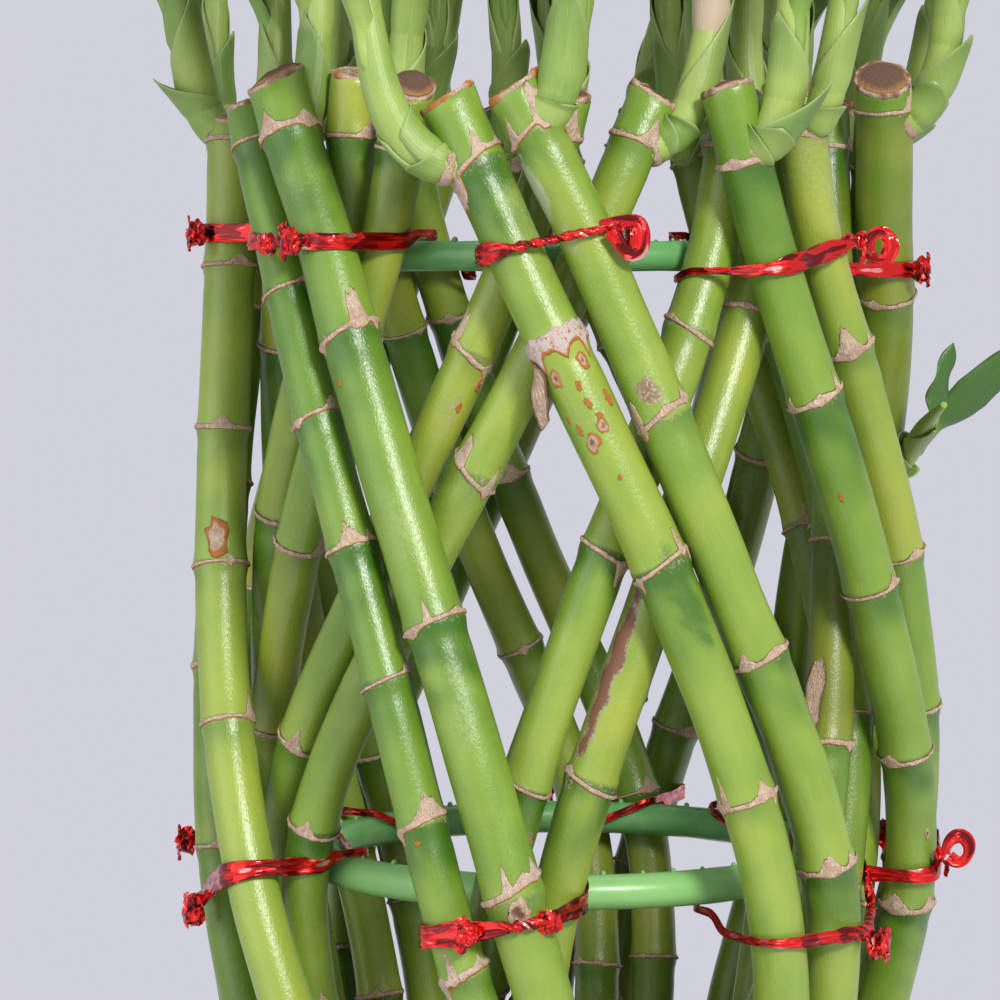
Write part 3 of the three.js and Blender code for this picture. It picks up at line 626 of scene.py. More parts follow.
class Workshop:
    """Steps of modelling by hand with Blender's operators."""

    LEVEL = 1e-5
    FACING_UP = 0.9
    SAME_PLACE = 1e-6
    SMOOTH_UNDER = 40

    @staticmethod
    def clear() -> None:
        """Leaves nothing selected and no mesh in edit mode."""
        if bpy.context.object and bpy.context.object.mode != "OBJECT":
            bpy.ops.object.mode_set(mode="OBJECT")
        bpy.ops.object.select_all(action="DESELECT")

    @staticmethod
    @contextmanager
    def editing(kind: Pick = Pick.POINTS, test: Callable[[object], bool] | None = None) -> Iterator[None]:
        """Edit mode on the active object.

        Args:
            kind: What is selected.
            test: Says of an edge or face whether it is selected. Without it all of the mesh is.
        """
        mesh = bpy.context.object.data
        bpy.ops.object.mode_set(mode="EDIT")
        bpy.context.tool_settings.mesh_select_mode = kind.value
        bpy.ops.mesh.select_all(action="SELECT" if test is None else "DESELECT")
        if test:
            bpy.ops.object.mode_set(mode="OBJECT")
            for item in mesh.edges if kind is Pick.EDGES else mesh.polygons:
                item.select = test(item)
            bpy.ops.object.mode_set(mode="EDIT")
        yield
        bpy.ops.object.mode_set(mode="OBJECT")

    @staticmethod
    def start(primitive: Callable[..., set], **sizes: object) -> Object:
        """Adds a primitive by its operator, with nothing else selected."""
        Workshop.clear()
        primitive(**sizes)
        return bpy.context.object

    @staticmethod
    def tube(sides: int, passes: Sequence[int], insets: Sequence[float]) -> Object:
        """A closed round bar of radius 1 and height 1, cut into rings, its top inset to a pole.

        Args:
            sides: Faces round it.
            passes: Cuts of its upright edges, pass after pass.
            insets: Widths of the rings on its top.

        Returns:
            The bar.
        """
        add = bpy.ops.mesh.primitive_cylinder_add
        obj = Workshop.start(add, vertices=sides, radius=1, depth=1, location=(0, 0, 0.5))
        bpy.ops.object.transform_apply(location=True, rotation=True, scale=True)

        def upright(edge: bpy.types.MeshEdge) -> bool:
            """Whether an edge runs up the side."""
            low, high = (obj.data.vertices[i].co for i in edge.vertices)
            return abs(low.z - high.z) > Workshop.LEVEL

        for cuts in passes:
            with Workshop.editing(Pick.EDGES, upright):
                bpy.ops.mesh.subdivide(number_cuts=cuts)
        with Workshop.editing(Pick.FACES, lambda face: face.normal.z > Workshop.FACING_UP):
            for width in insets:
                bpy.ops.mesh.inset(thickness=width, depth=0)
            bpy.ops.mesh.poke()
        return obj

    @staticmethod
    def ring(round_it: int, section: int) -> Object:
        """A ring of radius 1 with a round section."""
        sizes = {"major_segments": round_it, "minor_segments": section, "major_radius": 1}
        return Workshop.start(bpy.ops.mesh.primitive_torus_add, minor_radius=RING_SECTION, **sizes)

    @staticmethod
    def slab(across: int, along: int) -> Object:
        """A closed slab from -1 to 1 across, 0 to 1 along and 0 to 1 thick, cut into a grid.

        Args:
            across: Cuts across.
            along: Cuts along.

        Returns:
            The slab.
        """
        add = bpy.ops.mesh.primitive_grid_add
        Workshop.start(add, x_subdivisions=across, y_subdivisions=along, size=2)
        with Workshop.editing():
            bpy.ops.mesh.extrude_region_move(TRANSFORM_OT_translate={"value": (0, 0, 1)})
            bpy.ops.mesh.select_all(action="SELECT")
            bpy.ops.transform.translate(value=(0, 1, 0))
            bpy.ops.transform.resize(value=(1, 0.5, 1), center_override=(0, 0, 0))
            bpy.ops.mesh.normals_make_consistent(inside=False)
        return bpy.context.object

    @staticmethod
    def ball(segments: int, rings: int) -> Object:
        """A round ball of radius 1."""
        add = bpy.ops.mesh.primitive_uv_sphere_add
        return Workshop.start(add, segments=segments, ring_count=rings, radius=1)

    @staticmethod
    def stone(detail: int, easing: float = 0.0) -> Object:
        """A faceted ball of radius about 1, its corners eased."""
        obj = Workshop.start(bpy.ops.mesh.primitive_ico_sphere_add, subdivisions=detail, radius=1)
        if easing:
            with Workshop.editing():
                bpy.ops.mesh.vertices_smooth(factor=easing, repeat=1)
        return obj

    @staticmethod
    def turned(profile: Line, steps: int) -> Object:
        """A shape turned round the upright axis.

        Args:
            profile: Pairs of radius and height, in millimetres, from the axis outwards and round.
            steps: Steps of the turn.

        Returns:
            The turned shape, its poles closed and its faces outwards.
        """
        obj = Workshop.start(bpy.ops.mesh.primitive_plane_add, size=1)
        with Workshop.editing():
            bpy.ops.mesh.merge(type="CENTER")
            bpy.ops.transform.translate(value=(profile[0][0] * MM, 0, profile[0][1] * MM))
            for (x0, z0), (x1, z1) in zip(profile, profile[1:]):
                step = ((x1 - x0) * MM, 0, (z1 - z0) * MM)
                bpy.ops.mesh.extrude_region_move(TRANSFORM_OT_translate={"value": step})
            bpy.ops.mesh.select_all(action="SELECT")
            bpy.ops.mesh.spin(steps=steps, angle=2 * math.pi, center=(0, 0, 0), axis=(0, 0, 1))
            bpy.ops.mesh.select_all(action="SELECT")
            bpy.ops.mesh.remove_doubles(threshold=Workshop.SAME_PLACE)
            bpy.ops.mesh.normals_make_consistent(inside=False)
        bpy.ops.object.shade_smooth_by_angle(angle=math.radians(Workshop.SMOOTH_UNDER))
        return obj


@dataclass(frozen=True)
class Form:
    """A shape modelled once and kept as arrays, so that every copy gets a mesh of its own."""

    points: Array
    corners: Array
    starts: Array
    normals: Array

    @classmethod
    def take(cls, obj: Object) -> "Form":
        """Reads a modelled object and removes it.

        Args:
            obj: The object, at the origin.

        Returns:
            Its shape.
        """
        mesh = obj.data

        def read(rows: Sequence, key: str, width: int, kind: type) -> Array:
            """One property of all rows of the mesh."""
            values = np.empty(len(rows) * width, kind)
            rows.foreach_get(key, values)
            return values.reshape(-1, width) if width > 1 else values

        form = cls(
            read(mesh.vertices, "co", 3, float),
            read(mesh.loops, "vertex_index", 1, np.int32),
            read(mesh.polygons, "loop_start", 1, np.int32),
            read(mesh.polygons, "normal", 3, float),
        )
        bpy.data.objects.remove(obj)
        bpy.data.meshes.remove(mesh)
        return form

    @property
    def turn(self) -> Array:
        """Turn of each point round the upright axis, in degrees."""
        return np.degrees(np.arctan2(self.points[:, 1], self.points[:, 0]))

    @property
    def reach(self) -> Array:
        """Distance of each point from the upright axis."""
        return np.hypot(self.points[:, 0], self.points[:, 1])

    @property
    def section(self) -> tuple[Array, Array]:
        """How far each point of a ring lies outwards and upwards in its section, from -1 to 1."""
        return (self.reach - 1) / RING_SECTION, self.points[:, 2] / RING_SECTION


class Sheaf:
    """Copies of forms gathered into one mesh, with the marks that its finishes read."""

    MARKS = ("grain", "marks", "habit")

    def __init__(self, name: str, finishes: Sequence[Material]) -> None:
        """Starts an empty mesh.

        Args:
            name: Name of the finished object.
            finishes: Materials that faces choose from by number.
        """
        self.name = name
        self.finishes = finishes
        self.parts: list[tuple[Form, Array, Array, bool]] = []
        self.marks: dict[str, list[Array]] = {key: [] for key in self.MARKS}

    def add(
        self,
        form: Form,
        points: Array,
        finish: int | Array,
        grain: Array,
        marks: Array | Sequence[float] = (0, 0, 0),
        habit: Array | Sequence[float] = (0.5, 0.5, 0.5),
        smooth: bool = True,
    ) -> None:
        """Adds a copy of a form.

        Args:
            form: The form.
            points: Place of each of its points, in millimetres.
            finish: Number of the finish, for all faces or for each.
            grain: Place of each point in the pattern, in millimetres.
            marks: Shade, stain and bloom.
            habit: Lightness, yellowness and wear.
            smooth: Whether its faces are shaded smooth.
        """
        count = len(form.points)
        self.parts.append((form, points, np.broadcast_to(finish, len(form.starts)), smooth))
        for key, value in zip(self.MARKS, (grain, marks, habit)):
            self.marks[key].append(np.broadcast_to(np.asarray(value, float), (count, 3)))

    def build(self) -> Object:
        """Makes the object, at the origin and in metres.

        Returns:
            The object.
        """
        forms, places, finishes, smooth = zip(*self.parts)
        first = np.cumsum([0] + [len(form.points) for form in forms])
        corner = np.cumsum([0] + [len(form.corners) for form in forms])
        faces = np.concatenate([form.starts + start for form, start in zip(forms, corner)])
        shaded = np.concatenate([np.full(len(form.starts), flag) for form, flag in zip(forms, smooth)])
        mesh = bpy.data.meshes.new(self.name)
        mesh.vertices.add(int(first[-1]))
        mesh.loops.add(int(corner[-1]))
        mesh.polygons.add(len(faces))
        mesh.vertices.foreach_set("co", np.concatenate(places).ravel() * MM)
        mesh.loops.foreach_set("vertex_index", np.concatenate([f.corners + s for f, s in zip(forms, first)]))
        mesh.polygons.foreach_set("loop_start", faces)
        mesh.polygons.foreach_set("material_index", np.concatenate(finishes).astype(np.int32))
        mesh.polygons.foreach_set("use_smooth", shaded)
        for key, rows in self.marks.items():
            layer = mesh.attributes.new(key, "FLOAT_VECTOR", "POINT")
            layer.data.foreach_set("vector", np.concatenate(rows).astype(np.float32).ravel())
        mesh.update(calc_edges=True)
        mesh.validate()
        for finish in self.finishes:
            mesh.materials.append(finish)
        obj = bpy.data.objects.new(self.name, mesh)
        bpy.context.scene.collection.objects.link(obj)
        return obj


class Kit:
    """The forms that are modelled once and copied."""

    def __init__(self) -> None:
        """Models them."""
        tube, ring, slab, stone = Workshop.tube, Workshop.ring, Workshop.slab, Workshop.stone
        self.bar = Form.take(tube(sides=26, passes=(13, 14), insets=(0.1, 0.25, 0.3)))
        self.node_ring = Form.take(ring(88, 12))
        self.lens = Form.take(Workshop.ball(16, 8))
        self.flap = Form.take(slab(6, 12))
        self.stem = Form.take(tube(sides=16, passes=(7, 7), insets=(0.3, 0.3)))
        self.leaf = Form.take(slab(10, 30))
        self.clasp = Form.take(slab(20, 16))
        self.collar = Form.take(ring(40, 8))
        self.hoop, self.nub = Form.take(ring(180, 14)), Form.take(stone(2))
        self.band = Form.take(ring(Tie.STEPS, Tie.PLEATS))
        self.strip = Form.take(tube(sides=8, passes=(5, 6), insets=(0.4,)))
        self.lump = Form.take(stone(3))


class Wire:
    """A shader socket that takes part in arithmetic."""

    def __init__(self, paint: "Paint", socket: bpy.types.NodeSocket) -> None:
        """Wraps an output socket of a paint's node tree."""
        self.paint = paint
        self.socket = socket

    def __add__(self, other: "Wire | float") -> "Wire":
        """Sum."""
        return self.paint.math("ADD", self, other)

    def __sub__(self, other: "Wire | float") -> "Wire":
        """Difference."""
        return self.paint.math("SUBTRACT", self, other)

    def __rsub__(self, other: float) -> "Wire":
        """Difference from a number."""
        return self.paint.math("SUBTRACT", other, self)

    def __mul__(self, other: "Wire | float") -> "Wire":
        """Product."""
        return self.paint.math("MULTIPLY", self, other)

    def sway(self, amount: float) -> "Wire":
        """Noise as a swing about nothing."""
        return (self - 0.5) * amount

    __radd__ = __add__
    __rmul__ = __mul__


class Paint:
    """A material under the brush: its nodes are made by one method and joined by arithmetic."""

    def __init__(self, name: str) -> None:
        """Starts an empty material."""
        self.material = bpy.data.materials.new(name)
        self.material.use_nodes = True
        self.tree = self.material.node_tree
        self.tree.nodes.clear()

    def node(self, kind: str, settings: dict | None = None, inputs: dict | None = None) -> bpy.types.Node:
        """Adds a node.

        Args:
            kind: Its type.
            settings: Its properties, which are set first; stops are those of a ramp.
            inputs: Values or wires of its sockets, by name or number.

        Returns:
            The node.
        """
        made = self.tree.nodes.new(kind)
        for key, value in (settings or {}).items():
            setattr(made, key, value)
        for key, value in (inputs or {}).items():
            socket = made.inputs[key]
            if isinstance(value, Wire):
                self.tree.links.new(value.socket, socket)
            elif isinstance(value, (tuple, list)) and socket.type == "RGBA":
                socket.default_value = (*value[:3], 1.0)
            else:
                socket.default_value = value
        return made

    def wire(
        self, kind: str, settings: dict | None = None, inputs: dict | None = None, out: str | int = 0
    ) -> Wire:
        """Adds a node and gives one of its outputs."""
        return Wire(self, self.node(kind, settings, inputs).outputs[out])

    def math(self, operation: str, *values: Wire | float) -> Wire:
        """Adds a Math node."""
        return self.wire("ShaderNodeMath", {"operation": operation}, dict(enumerate(values)))

    def attribute(self, name: str) -> Wire:
        """Reads a vector attribute of the mesh."""
        settings = {"attribute_type": "GEOMETRY", "attribute_name": name}
        return self.wire("ShaderNodeAttribute", settings, out="Vector")

    def split(self, vector: Wire) -> tuple[Wire, Wire, Wire]:
        """The three numbers of a vector."""
        x, y, z = self.node("ShaderNodeSeparateXYZ", inputs={0: vector}).outputs
        return Wire(self, x), Wire(self, y), Wire(self, z)

    def channels(self, name: str) -> tuple[Wire, Wire, Wire]:
        """Reads the three numbers of an attribute."""
        return self.split(self.attribute(name))

    def stretch(self, vector: Wire, scale: tuple[float, float, float]) -> Wire:
        """Scales a pattern's coordinates."""
        return self.wire("ShaderNodeVectorMath", {"operation": "MULTIPLY"}, {0: vector, 1: scale})

    def noise(self, vector: Wire, scale: float, detail: float = 3.0, rough: float = 0.5) -> Wire:
        """Cloudy noise, about 0 to 1."""
        sockets = {"Vector": vector, "Scale": scale, "Detail": detail, "Roughness": rough}
        return self.wire("ShaderNodeTexNoise", None, sockets)

    def cells(self, vector: Wire, scale: float, out: str = "Distance") -> Wire:
        """Cellular pattern."""
        return self.wire("ShaderNodeTexVoronoi", {"feature": "F1"}, {"Vector": vector, "Scale": scale}, out)

    def step(self, value: Wire, low: float, high: float) -> Wire:
        """A smooth step from 0 at low to 1 at high."""
        settings = {"interpolation_type": "SMOOTHSTEP", "clamp": True}
        sockets = {"Value": value, "From Min": low, "From Max": high}
        return self.wire("ShaderNodeMapRange", settings, sockets)

    def mix(self, factor: Wire | float, first: Wire | tuple, second: Wire | tuple) -> Wire:
        """Mixes two colours."""
        return self.wire("ShaderNodeMix", {"data_type": "RGBA"}, {0: factor, 6: first, 7: second}, 2)

    def bump(self, height: Wire, distance: float, strength: float) -> Wire:
        """Turns a height into a bumped normal."""
        sockets = {"Height": height, "Distance": distance, "Strength": strength}
        return self.wire("ShaderNodeBump", None, sockets)

    def surface(
        self, colour: Wire, rough: Wire | float, normal: Wire, others: dict[str, float] | None = None
    ) -> Material:
        """Ends the material in a principled shader.

        Args:
            colour: Its base colour.
            rough: Its roughness.
            normal: Its bumped normal.
            others: Values of its other sockets.

        Returns:
            The material.
        """
        sockets = {"Base Color": colour, "Roughness": rough, "Normal": normal, **(others or {})}
        return self.end(self.node("ShaderNodeBsdfPrincipled", inputs=sockets))

    def end(self, shader: bpy.types.Node) -> Material:
        """Joins the last shader to the material's output."""
        output = self.node("ShaderNodeOutputMaterial")
        self.tree.links.new(shader.outputs[0], output.inputs[0])
        return self.material


@dataclass(frozen=True)
class CaneFinish:
    """Living cane: waxy green that changes from stretch to stretch, darker under each ring."""

    light: Colour = (0.245, 0.35, 0.046)
    middle: Colour = (0.112, 0.222, 0.016)
    deep: Colour = (0.034, 0.112, 0.006)
    yellow: Colour = (0.33, 0.35, 0.036)
    olive: Colour = (0.13, 0.155, 0.014)
    rust: Colour = (0.165, 0.07, 0.035)
    grey: Colour = (0.36, 0.31, 0.235)
    wax: Colour = (0.42, 0.47, 0.38)
    roughness: float = 0.29

    def paint(self) -> Material:
        """The finished material."""
        p = Paint("cane_skin")
        grain = p.attribute("grain")
        shade, stain, bloom = p.channels("marks")
        tone, yellow, wear = p.channels("habit")
        broad = p.noise(grain, 0.06, 2, 0.5)
        drift = p.noise(p.stretch(grain, (0.5, 0.5, 0.1)), 0.5, 3, 0.6)
        fibre = p.noise(p.stretch(grain, (1, 1, 0.05)), 2.4, 2, 0.6)
        fine = p.noise(grain, 1.5, 3, 0.62)
        pits = p.cells(p.stretch(grain, (1, 1, 0.5)), 1.1)
        bright = p.mix(p.step(yellow + broad.sway(0.9), 0.3, 1.0), self.light, self.yellow)
        dull = p.mix(p.step(yellow + drift.sway(0.6), 0.45, 1.0), self.middle, self.olive)
        level = tone + broad.sway(0.8) + drift.sway(0.45) + fibre.sway(0.1)
        green = p.mix(p.step(level, 0.15, 0.9), dull, bright)
        dark = p.step(shade + drift.sway(0.6) + fibre.sway(0.15), 0.12, 1.0)
        green = p.mix(dark * 0.92, green, self.deep)
        freckle = p.step(pits, 0.13, 0.04) * p.step(broad, 0.46, 0.58)
        green = p.mix(freckle * 0.4, green, self.light)
        rough_stain = stain + fine.sway(1.1) + drift.sway(0.5)
        brown = p.mix(p.step(fine, 0.42, 0.66) * p.step(stain, 1.1, 0.8), self.rust, self.grey)
        green = p.mix(p.step(rough_stain, 0.34, 0.72), green, brown)
        waxy = p.step(bloom + fine.sway(0.8) + broad.sway(0.4), 0.2, 0.85)
        green = p.mix(waxy * 0.55, green, self.wax)
        dimple = p.noise(p.stretch(grain, (1, 1, 0.6)), 2.3, 3, 0.6)
        skin = p.bump(dimple + drift * 0.6 + p.step(pits, 0.2, 0.0) * 0.3, 0.000105, 0.85)
        corky = p.step(rough_stain, 0.3, 0.7)
        rough = self.roughness + fine.sway(0.3) + waxy * 0.25 + corky * 0.3 + wear * 0.08
        return p.surface(green, rough, skin, {"Specular IOR Level": 0.55})


@dataclass(frozen=True)
class PaperFinish:
    """Dry sheath scars: tan paper that browns towards torn edges."""

    tan: Colour = (0.50, 0.36, 0.235)
    pink: Colour = (0.40, 0.25, 0.17)
    edge: Colour = (0.12, 0.055, 0.022)
    pale: Colour = (0.66, 0.58, 0.48)
    orange: Colour = (0.37, 0.135, 0.022)
    lichen: Colour = (0.50, 0.42, 0.40)

    def paint(self) -> Material:
        """The finished material."""
        p = Paint("dry_sheath")
        grain = p.attribute("grain")
        edge, warm, scab = p.channels("marks")
        cloud = p.noise(grain, 0.5, 3, 0.6)
        fibre = p.noise(p.stretch(grain, (1, 1, 0.22)), 2.8, 3, 0.65)
        fine = p.noise(grain, 4.0, 2, 0.6)
        base = p.mix(p.step(cloud, 0.36, 0.62), self.pink, self.tan)
        base = p.mix(p.step(fibre, 0.48, 0.66) * 0.8, base, self.pale)
        base = p.mix(p.step(fine + fibre.sway(0.5), 0.54, 0.7) * 0.65, base, self.edge)
        flakes = p.noise(p.stretch(grain, (1, 1, 0.8)), 1.5, 4, 0.75)
        base = p.mix(scab * p.step(flakes, 0.42, 0.56), base, self.lichen)
        base = p.mix(scab * p.step(flakes + fine.sway(0.3), 0.42, 0.34), base, self.edge)
        base = p.mix(p.step(edge + cloud.sway(0.9), 0.42, 0.95), base, self.edge)
        base = p.mix(p.step(warm + cloud.sway(0.8), 0.4, 0.9), base, self.orange)
        rough = 0.66 + fine.sway(0.25)
        return p.surface(base, rough, p.bump(fibre + fine * 0.7, 0.0004, 0.9), {"Specular IOR Level": 0.35})


@dataclass(frozen=True)
class CutFinish:
    """Sawn end of a cane: pale fibre that has dried to brown in rings."""

    fresh: Colour = (0.52, 0.43, 0.30)
    dried: Colour = (0.125, 0.07, 0.045)
    rim: Colour = (0.42, 0.2, 0.07)

    def paint(self) -> Material:
        """The finished material."""
        p = Paint("cut_end")
        grain = p.attribute("grain")
        away, age, _ = p.channels("marks")
        cloud = p.noise(grain, 0.6, 3, 0.6)
        dots = p.cells(grain, 2.4)
        fine = p.noise(grain, 3.5, 2, 0.6)
        base = p.mix(p.step(age + cloud.sway(0.9) + fine.sway(0.4), 0.3, 0.7), self.fresh, self.dried)
        base = p.mix(p.step(dots, 0.2, 0.05) * 0.6, base, self.dried)
        base = p.mix(p.step(away + cloud.sway(0.3), 0.66, 0.92) * 0.8, base, self.rim)
        return p.surface(base, 0.8, p.bump(fine + dots, 0.0004, 0.8), {"Specular IOR Level": 0.25})


@dataclass(frozen=True)
class LeafFinish:
    """Shoots and leaves: fresh green with fine veins along them, paler at the sheath."""

    young: Colour = (0.29, 0.395, 0.085)
    grown: Colour = (0.042, 0.118, 0.012)
    vein: Colour = (0.125, 0.245, 0.035)
    pale: Colour = (0.36, 0.44, 0.17)
    dry: Colour = (0.46, 0.36, 0.25)

    def paint(self) -> Material:
        """The finished material."""
        p = Paint("leaf_skin")
        grain = p.attribute("grain")
        age, tip, rim = p.channels("marks")
        tone, _, _ = p.channels("habit")
        across, _, _ = p.split(grain)
        veins = p.math("SINE", across * 9.0) * 0.5 + 0.5
        broad = p.noise(grain, 0.09, 2, 0.5)
        fibre = p.noise(p.stretch(grain, (1, 1, 0.1)), 1.6, 3, 0.6)
        fine = p.noise(p.stretch(grain, (1, 1, 0.5)), 3.4, 2, 0.6)
        level = tone + broad.sway(0.9) + fibre.sway(0.5)
        fresh = p.mix(p.step(level, 0.1, 0.9), self.vein, self.young)
        green = p.mix(p.step(age + broad.sway(0.5), 0.1, 0.85), fresh, self.grown)
        green = p.mix(veins * p.step(fibre, 0.45, 0.7) * 0.2, green, self.vein)
        green = p.mix(rim * 0.6, green, self.pale)
        green = p.mix(p.step(tip + fine.sway(0.8), 0.5, 0.9), green, self.dry)
        normal = p.bump(veins * 0.35 + fine, 0.00008, 0.7)
        return p.surface(green, 0.44 + fine.sway(0.3), normal)


@dataclass(frozen=True)
class HoopFinish:
    """Green plastic skin of the training hoops, paler on the lower one, whose back is painted darker as
    shade.
    """

    # green: the upper hoop's own colour, also painted on the back of the lower one as painted shade
    green: Colour = (0.105, 0.32, 0.095)
    pale: Colour = (0.215, 0.46, 0.14)
    worn: Colour = (0.27, 0.54, 0.19)

    def paint(self) -> Material:
        """The finished material."""
        p = Paint("hoop_skin")
        grain = p.attribute("grain")
        cloud = p.noise(grain, 0.16, 3, 0.5)
        fine = p.noise(grain, 2.2, 3, 0.6)
        tone, _, _ = p.channels("habit")
        # tone is the lower hoop's paleness: full at its front, fading to green at its back as painted shade
        base = p.mix(tone, self.green, self.pale)
        base = p.mix(p.step(cloud + fine.sway(0.3), 0.4, 0.75) * 0.4, base, self.worn)
        return p.surface(base, 0.34 + fine.sway(0.2), p.bump(fine, 0.00006, 0.5))


@dataclass(frozen=True)
class FoilFinish:
    """Crumpled red metal foil, with painted dark reflections on some facets and pale pink flecks along some
    creases that are partly worn-off colour and partly a painted glint.
    """

    red: Colour = (0.80, 0.014, 0.012)
    # painted dark reflection: the colour of facets that stand for foil mirroring dark surroundings
    dark: Colour = (0.17, 0.002, 0.003)
    # pale pink flecks: partly worn-off colour, partly a painted glint
    worn_and_glint: Colour = (0.92, 0.50, 0.48)

    def paint(self) -> Material:
        """The finished material."""
        p = Paint("tie_foil")
        grain = p.attribute("grain")
        folds = p.stretch(grain, (0.9, 0.5, 0.26))
        pulled = p.noise(p.stretch(grain, (1.5, 0.5, 0.16)), 0.9, 1, 0.5)
        creases = p.cells(folds, 0.85)
        facet = p.wire("ShaderNodeSeparateColor", None, {0: p.cells(folds, 0.85, "Color")})
        fine = p.noise(p.stretch(grain, (1, 1, 0.3)), 2.6, 2, 0.5)
        # painted dark reflections on facets picked by cell and noise
        base = p.mix(p.step(facet + pulled.sway(0.9), 0.18, 0.62), self.dark, self.red)
        # painted glint on some creases, partly standing for worn-off colour
        glint = p.step(facet + fine.sway(0.2), 0.88, 0.93) * p.step(creases, 0.45, 0.3)
        base = p.mix(glint * 0.8, base, self.worn_and_glint)
        normal = p.bump(pulled + creases * 0.8, 0.00042, 0.9)
        metal = {"Metallic": 0.85, "Coat Weight": 0.4, "Coat Roughness": 0.08}
        return p.surface(base, 0.2 + fine.sway(0.2), normal, metal)


@dataclass(frozen=True)
class PebbleFinish:
    """River pebbles in warm greys and creams."""

    cream: Colour = (0.48, 0.43, 0.35)
    grey: Colour = (0.2, 0.19, 0.18)
    brown: Colour = (0.26, 0.17, 0.11)

    def paint(self) -> Material:
        """The finished material."""
        p = Paint("pebble_stone")
        grain = p.attribute("grain")
        tone, warm, _ = p.channels("habit")
        cloud = p.noise(grain, 0.35, 4, 0.6)
        fine = p.noise(grain, 3.2, 3, 0.6)
        base = p.mix(p.step(tone + cloud.sway(0.5), 0.2, 0.8), self.grey, self.cream)
        base = p.mix(p.step(warm + cloud.sway(0.4), 0.6, 0.95), base, self.brown)
        base = p.mix(p.step(fine, 0.62, 0.74) * 0.45, base, self.grey)
        return p.surface(base, 0.42 + fine.sway(0.3), p.bump(fine, 0.0001, 0.5))


@dataclass(frozen=True)
class GlazeFinish:
    """Glazed stoneware with fine iron specks, thinner and warmer at the rim."""

    glaze: Colour = (0.76, 0.745, 0.70)
    speck: Colour = (0.28, 0.20, 0.13)
    thin: Colour = (0.52, 0.42, 0.31)

    def paint(self) -> Material:
        """The finished material."""
        p = Paint("bowl_glaze")
        place = p.wire("ShaderNodeTexCoord", out="Object")
        _, _, height = p.split(place)
        cloud = p.noise(place, 40, 4, 0.55)
        grit = p.cells(place, 240)
        fine = p.noise(place, 500, 3, 0.6)
        base = p.mix(p.step(grit, 0.14, 0.05) * p.step(cloud, 0.45, 0.6) * 0.8, self.glaze, self.speck)
        base = p.mix(p.step(height + cloud.sway(0.002), 0.0745, 0.0762) * 0.75, base, self.thin)
        base = p.mix(p.step(height + cloud.sway(0.001), 0.0034, 0.0022), base, self.thin)
        normal = p.bump(cloud + fine * 0.05, 0.0006, 0.3)
        return p.surface(base, 0.2 + cloud.sway(0.12), normal, {"Coat Weight": 0.4})


@dataclass(frozen=True)
class FloorFinish:
    """Pale studio floor that fades into the backdrop."""

    pale: Colour = (0.72, 0.715, 0.76)
    fade_from: float = 0.32
    fade_to: float = 0.50

    def paint(self) -> Material:
        """The finished material."""
        p = Paint("studio_floor")
        place = p.wire("ShaderNodeTexCoord", out="Object")
        far = p.wire("ShaderNodeVectorMath", {"operation": "LENGTH"}, {0: place}, "Value")
        tooth = p.noise(place, 90, 2, 0.5)
        sockets = {"Base Color": self.pale, "Roughness": 0.7 + tooth * 0.1}
        matt = p.node("ShaderNodeBsdfPrincipled", inputs=sockets)
        clear = p.wire("ShaderNodeBsdfTransparent")
        shares = {0: p.step(far, self.fade_from, self.fade_to), 1: Wire(p, matt.outputs[0]), 2: clear}
        return p.end(p.node("ShaderNodeMixShader", inputs=shares))


class Stem(ABC):
    """What grows along a curve. A place on it is told by a run along it and a turn round it in degrees."""

    @abstractmethod
    def centre(self, run: Number) -> Array:
        """Points of the centre line."""

    @abstractmethod
    def axes(self, run: Array) -> tuple[Array, Array, Array]:
        """Unit vectors outwards, sideways and along the stem."""

    @abstractmethod
    def skin(self, run: Array, turn: Number = 0.0) -> Array:
        """Radius of the stem."""

    def place(
        self, run: Array, turn: Array, lift: Number = 0.0, share: Number = 1.0
    ) -> Array:
        """Points on or over the surface.

        Args:
            run: Places along the stem.
            turn: Turns round it.
            lift: Distance off the surface.
            share: Share of the way out from the centre line.

        Returns:
            The points, in millimetres.
        """
        out, side, _ = self.axes(run)
        away = (self.skin(run, turn) * share + lift)[..., None]
        a = np.radians(turn)[..., None]
        return self.centre(run) + away * (np.cos(a) * out + np.sin(a) * side)


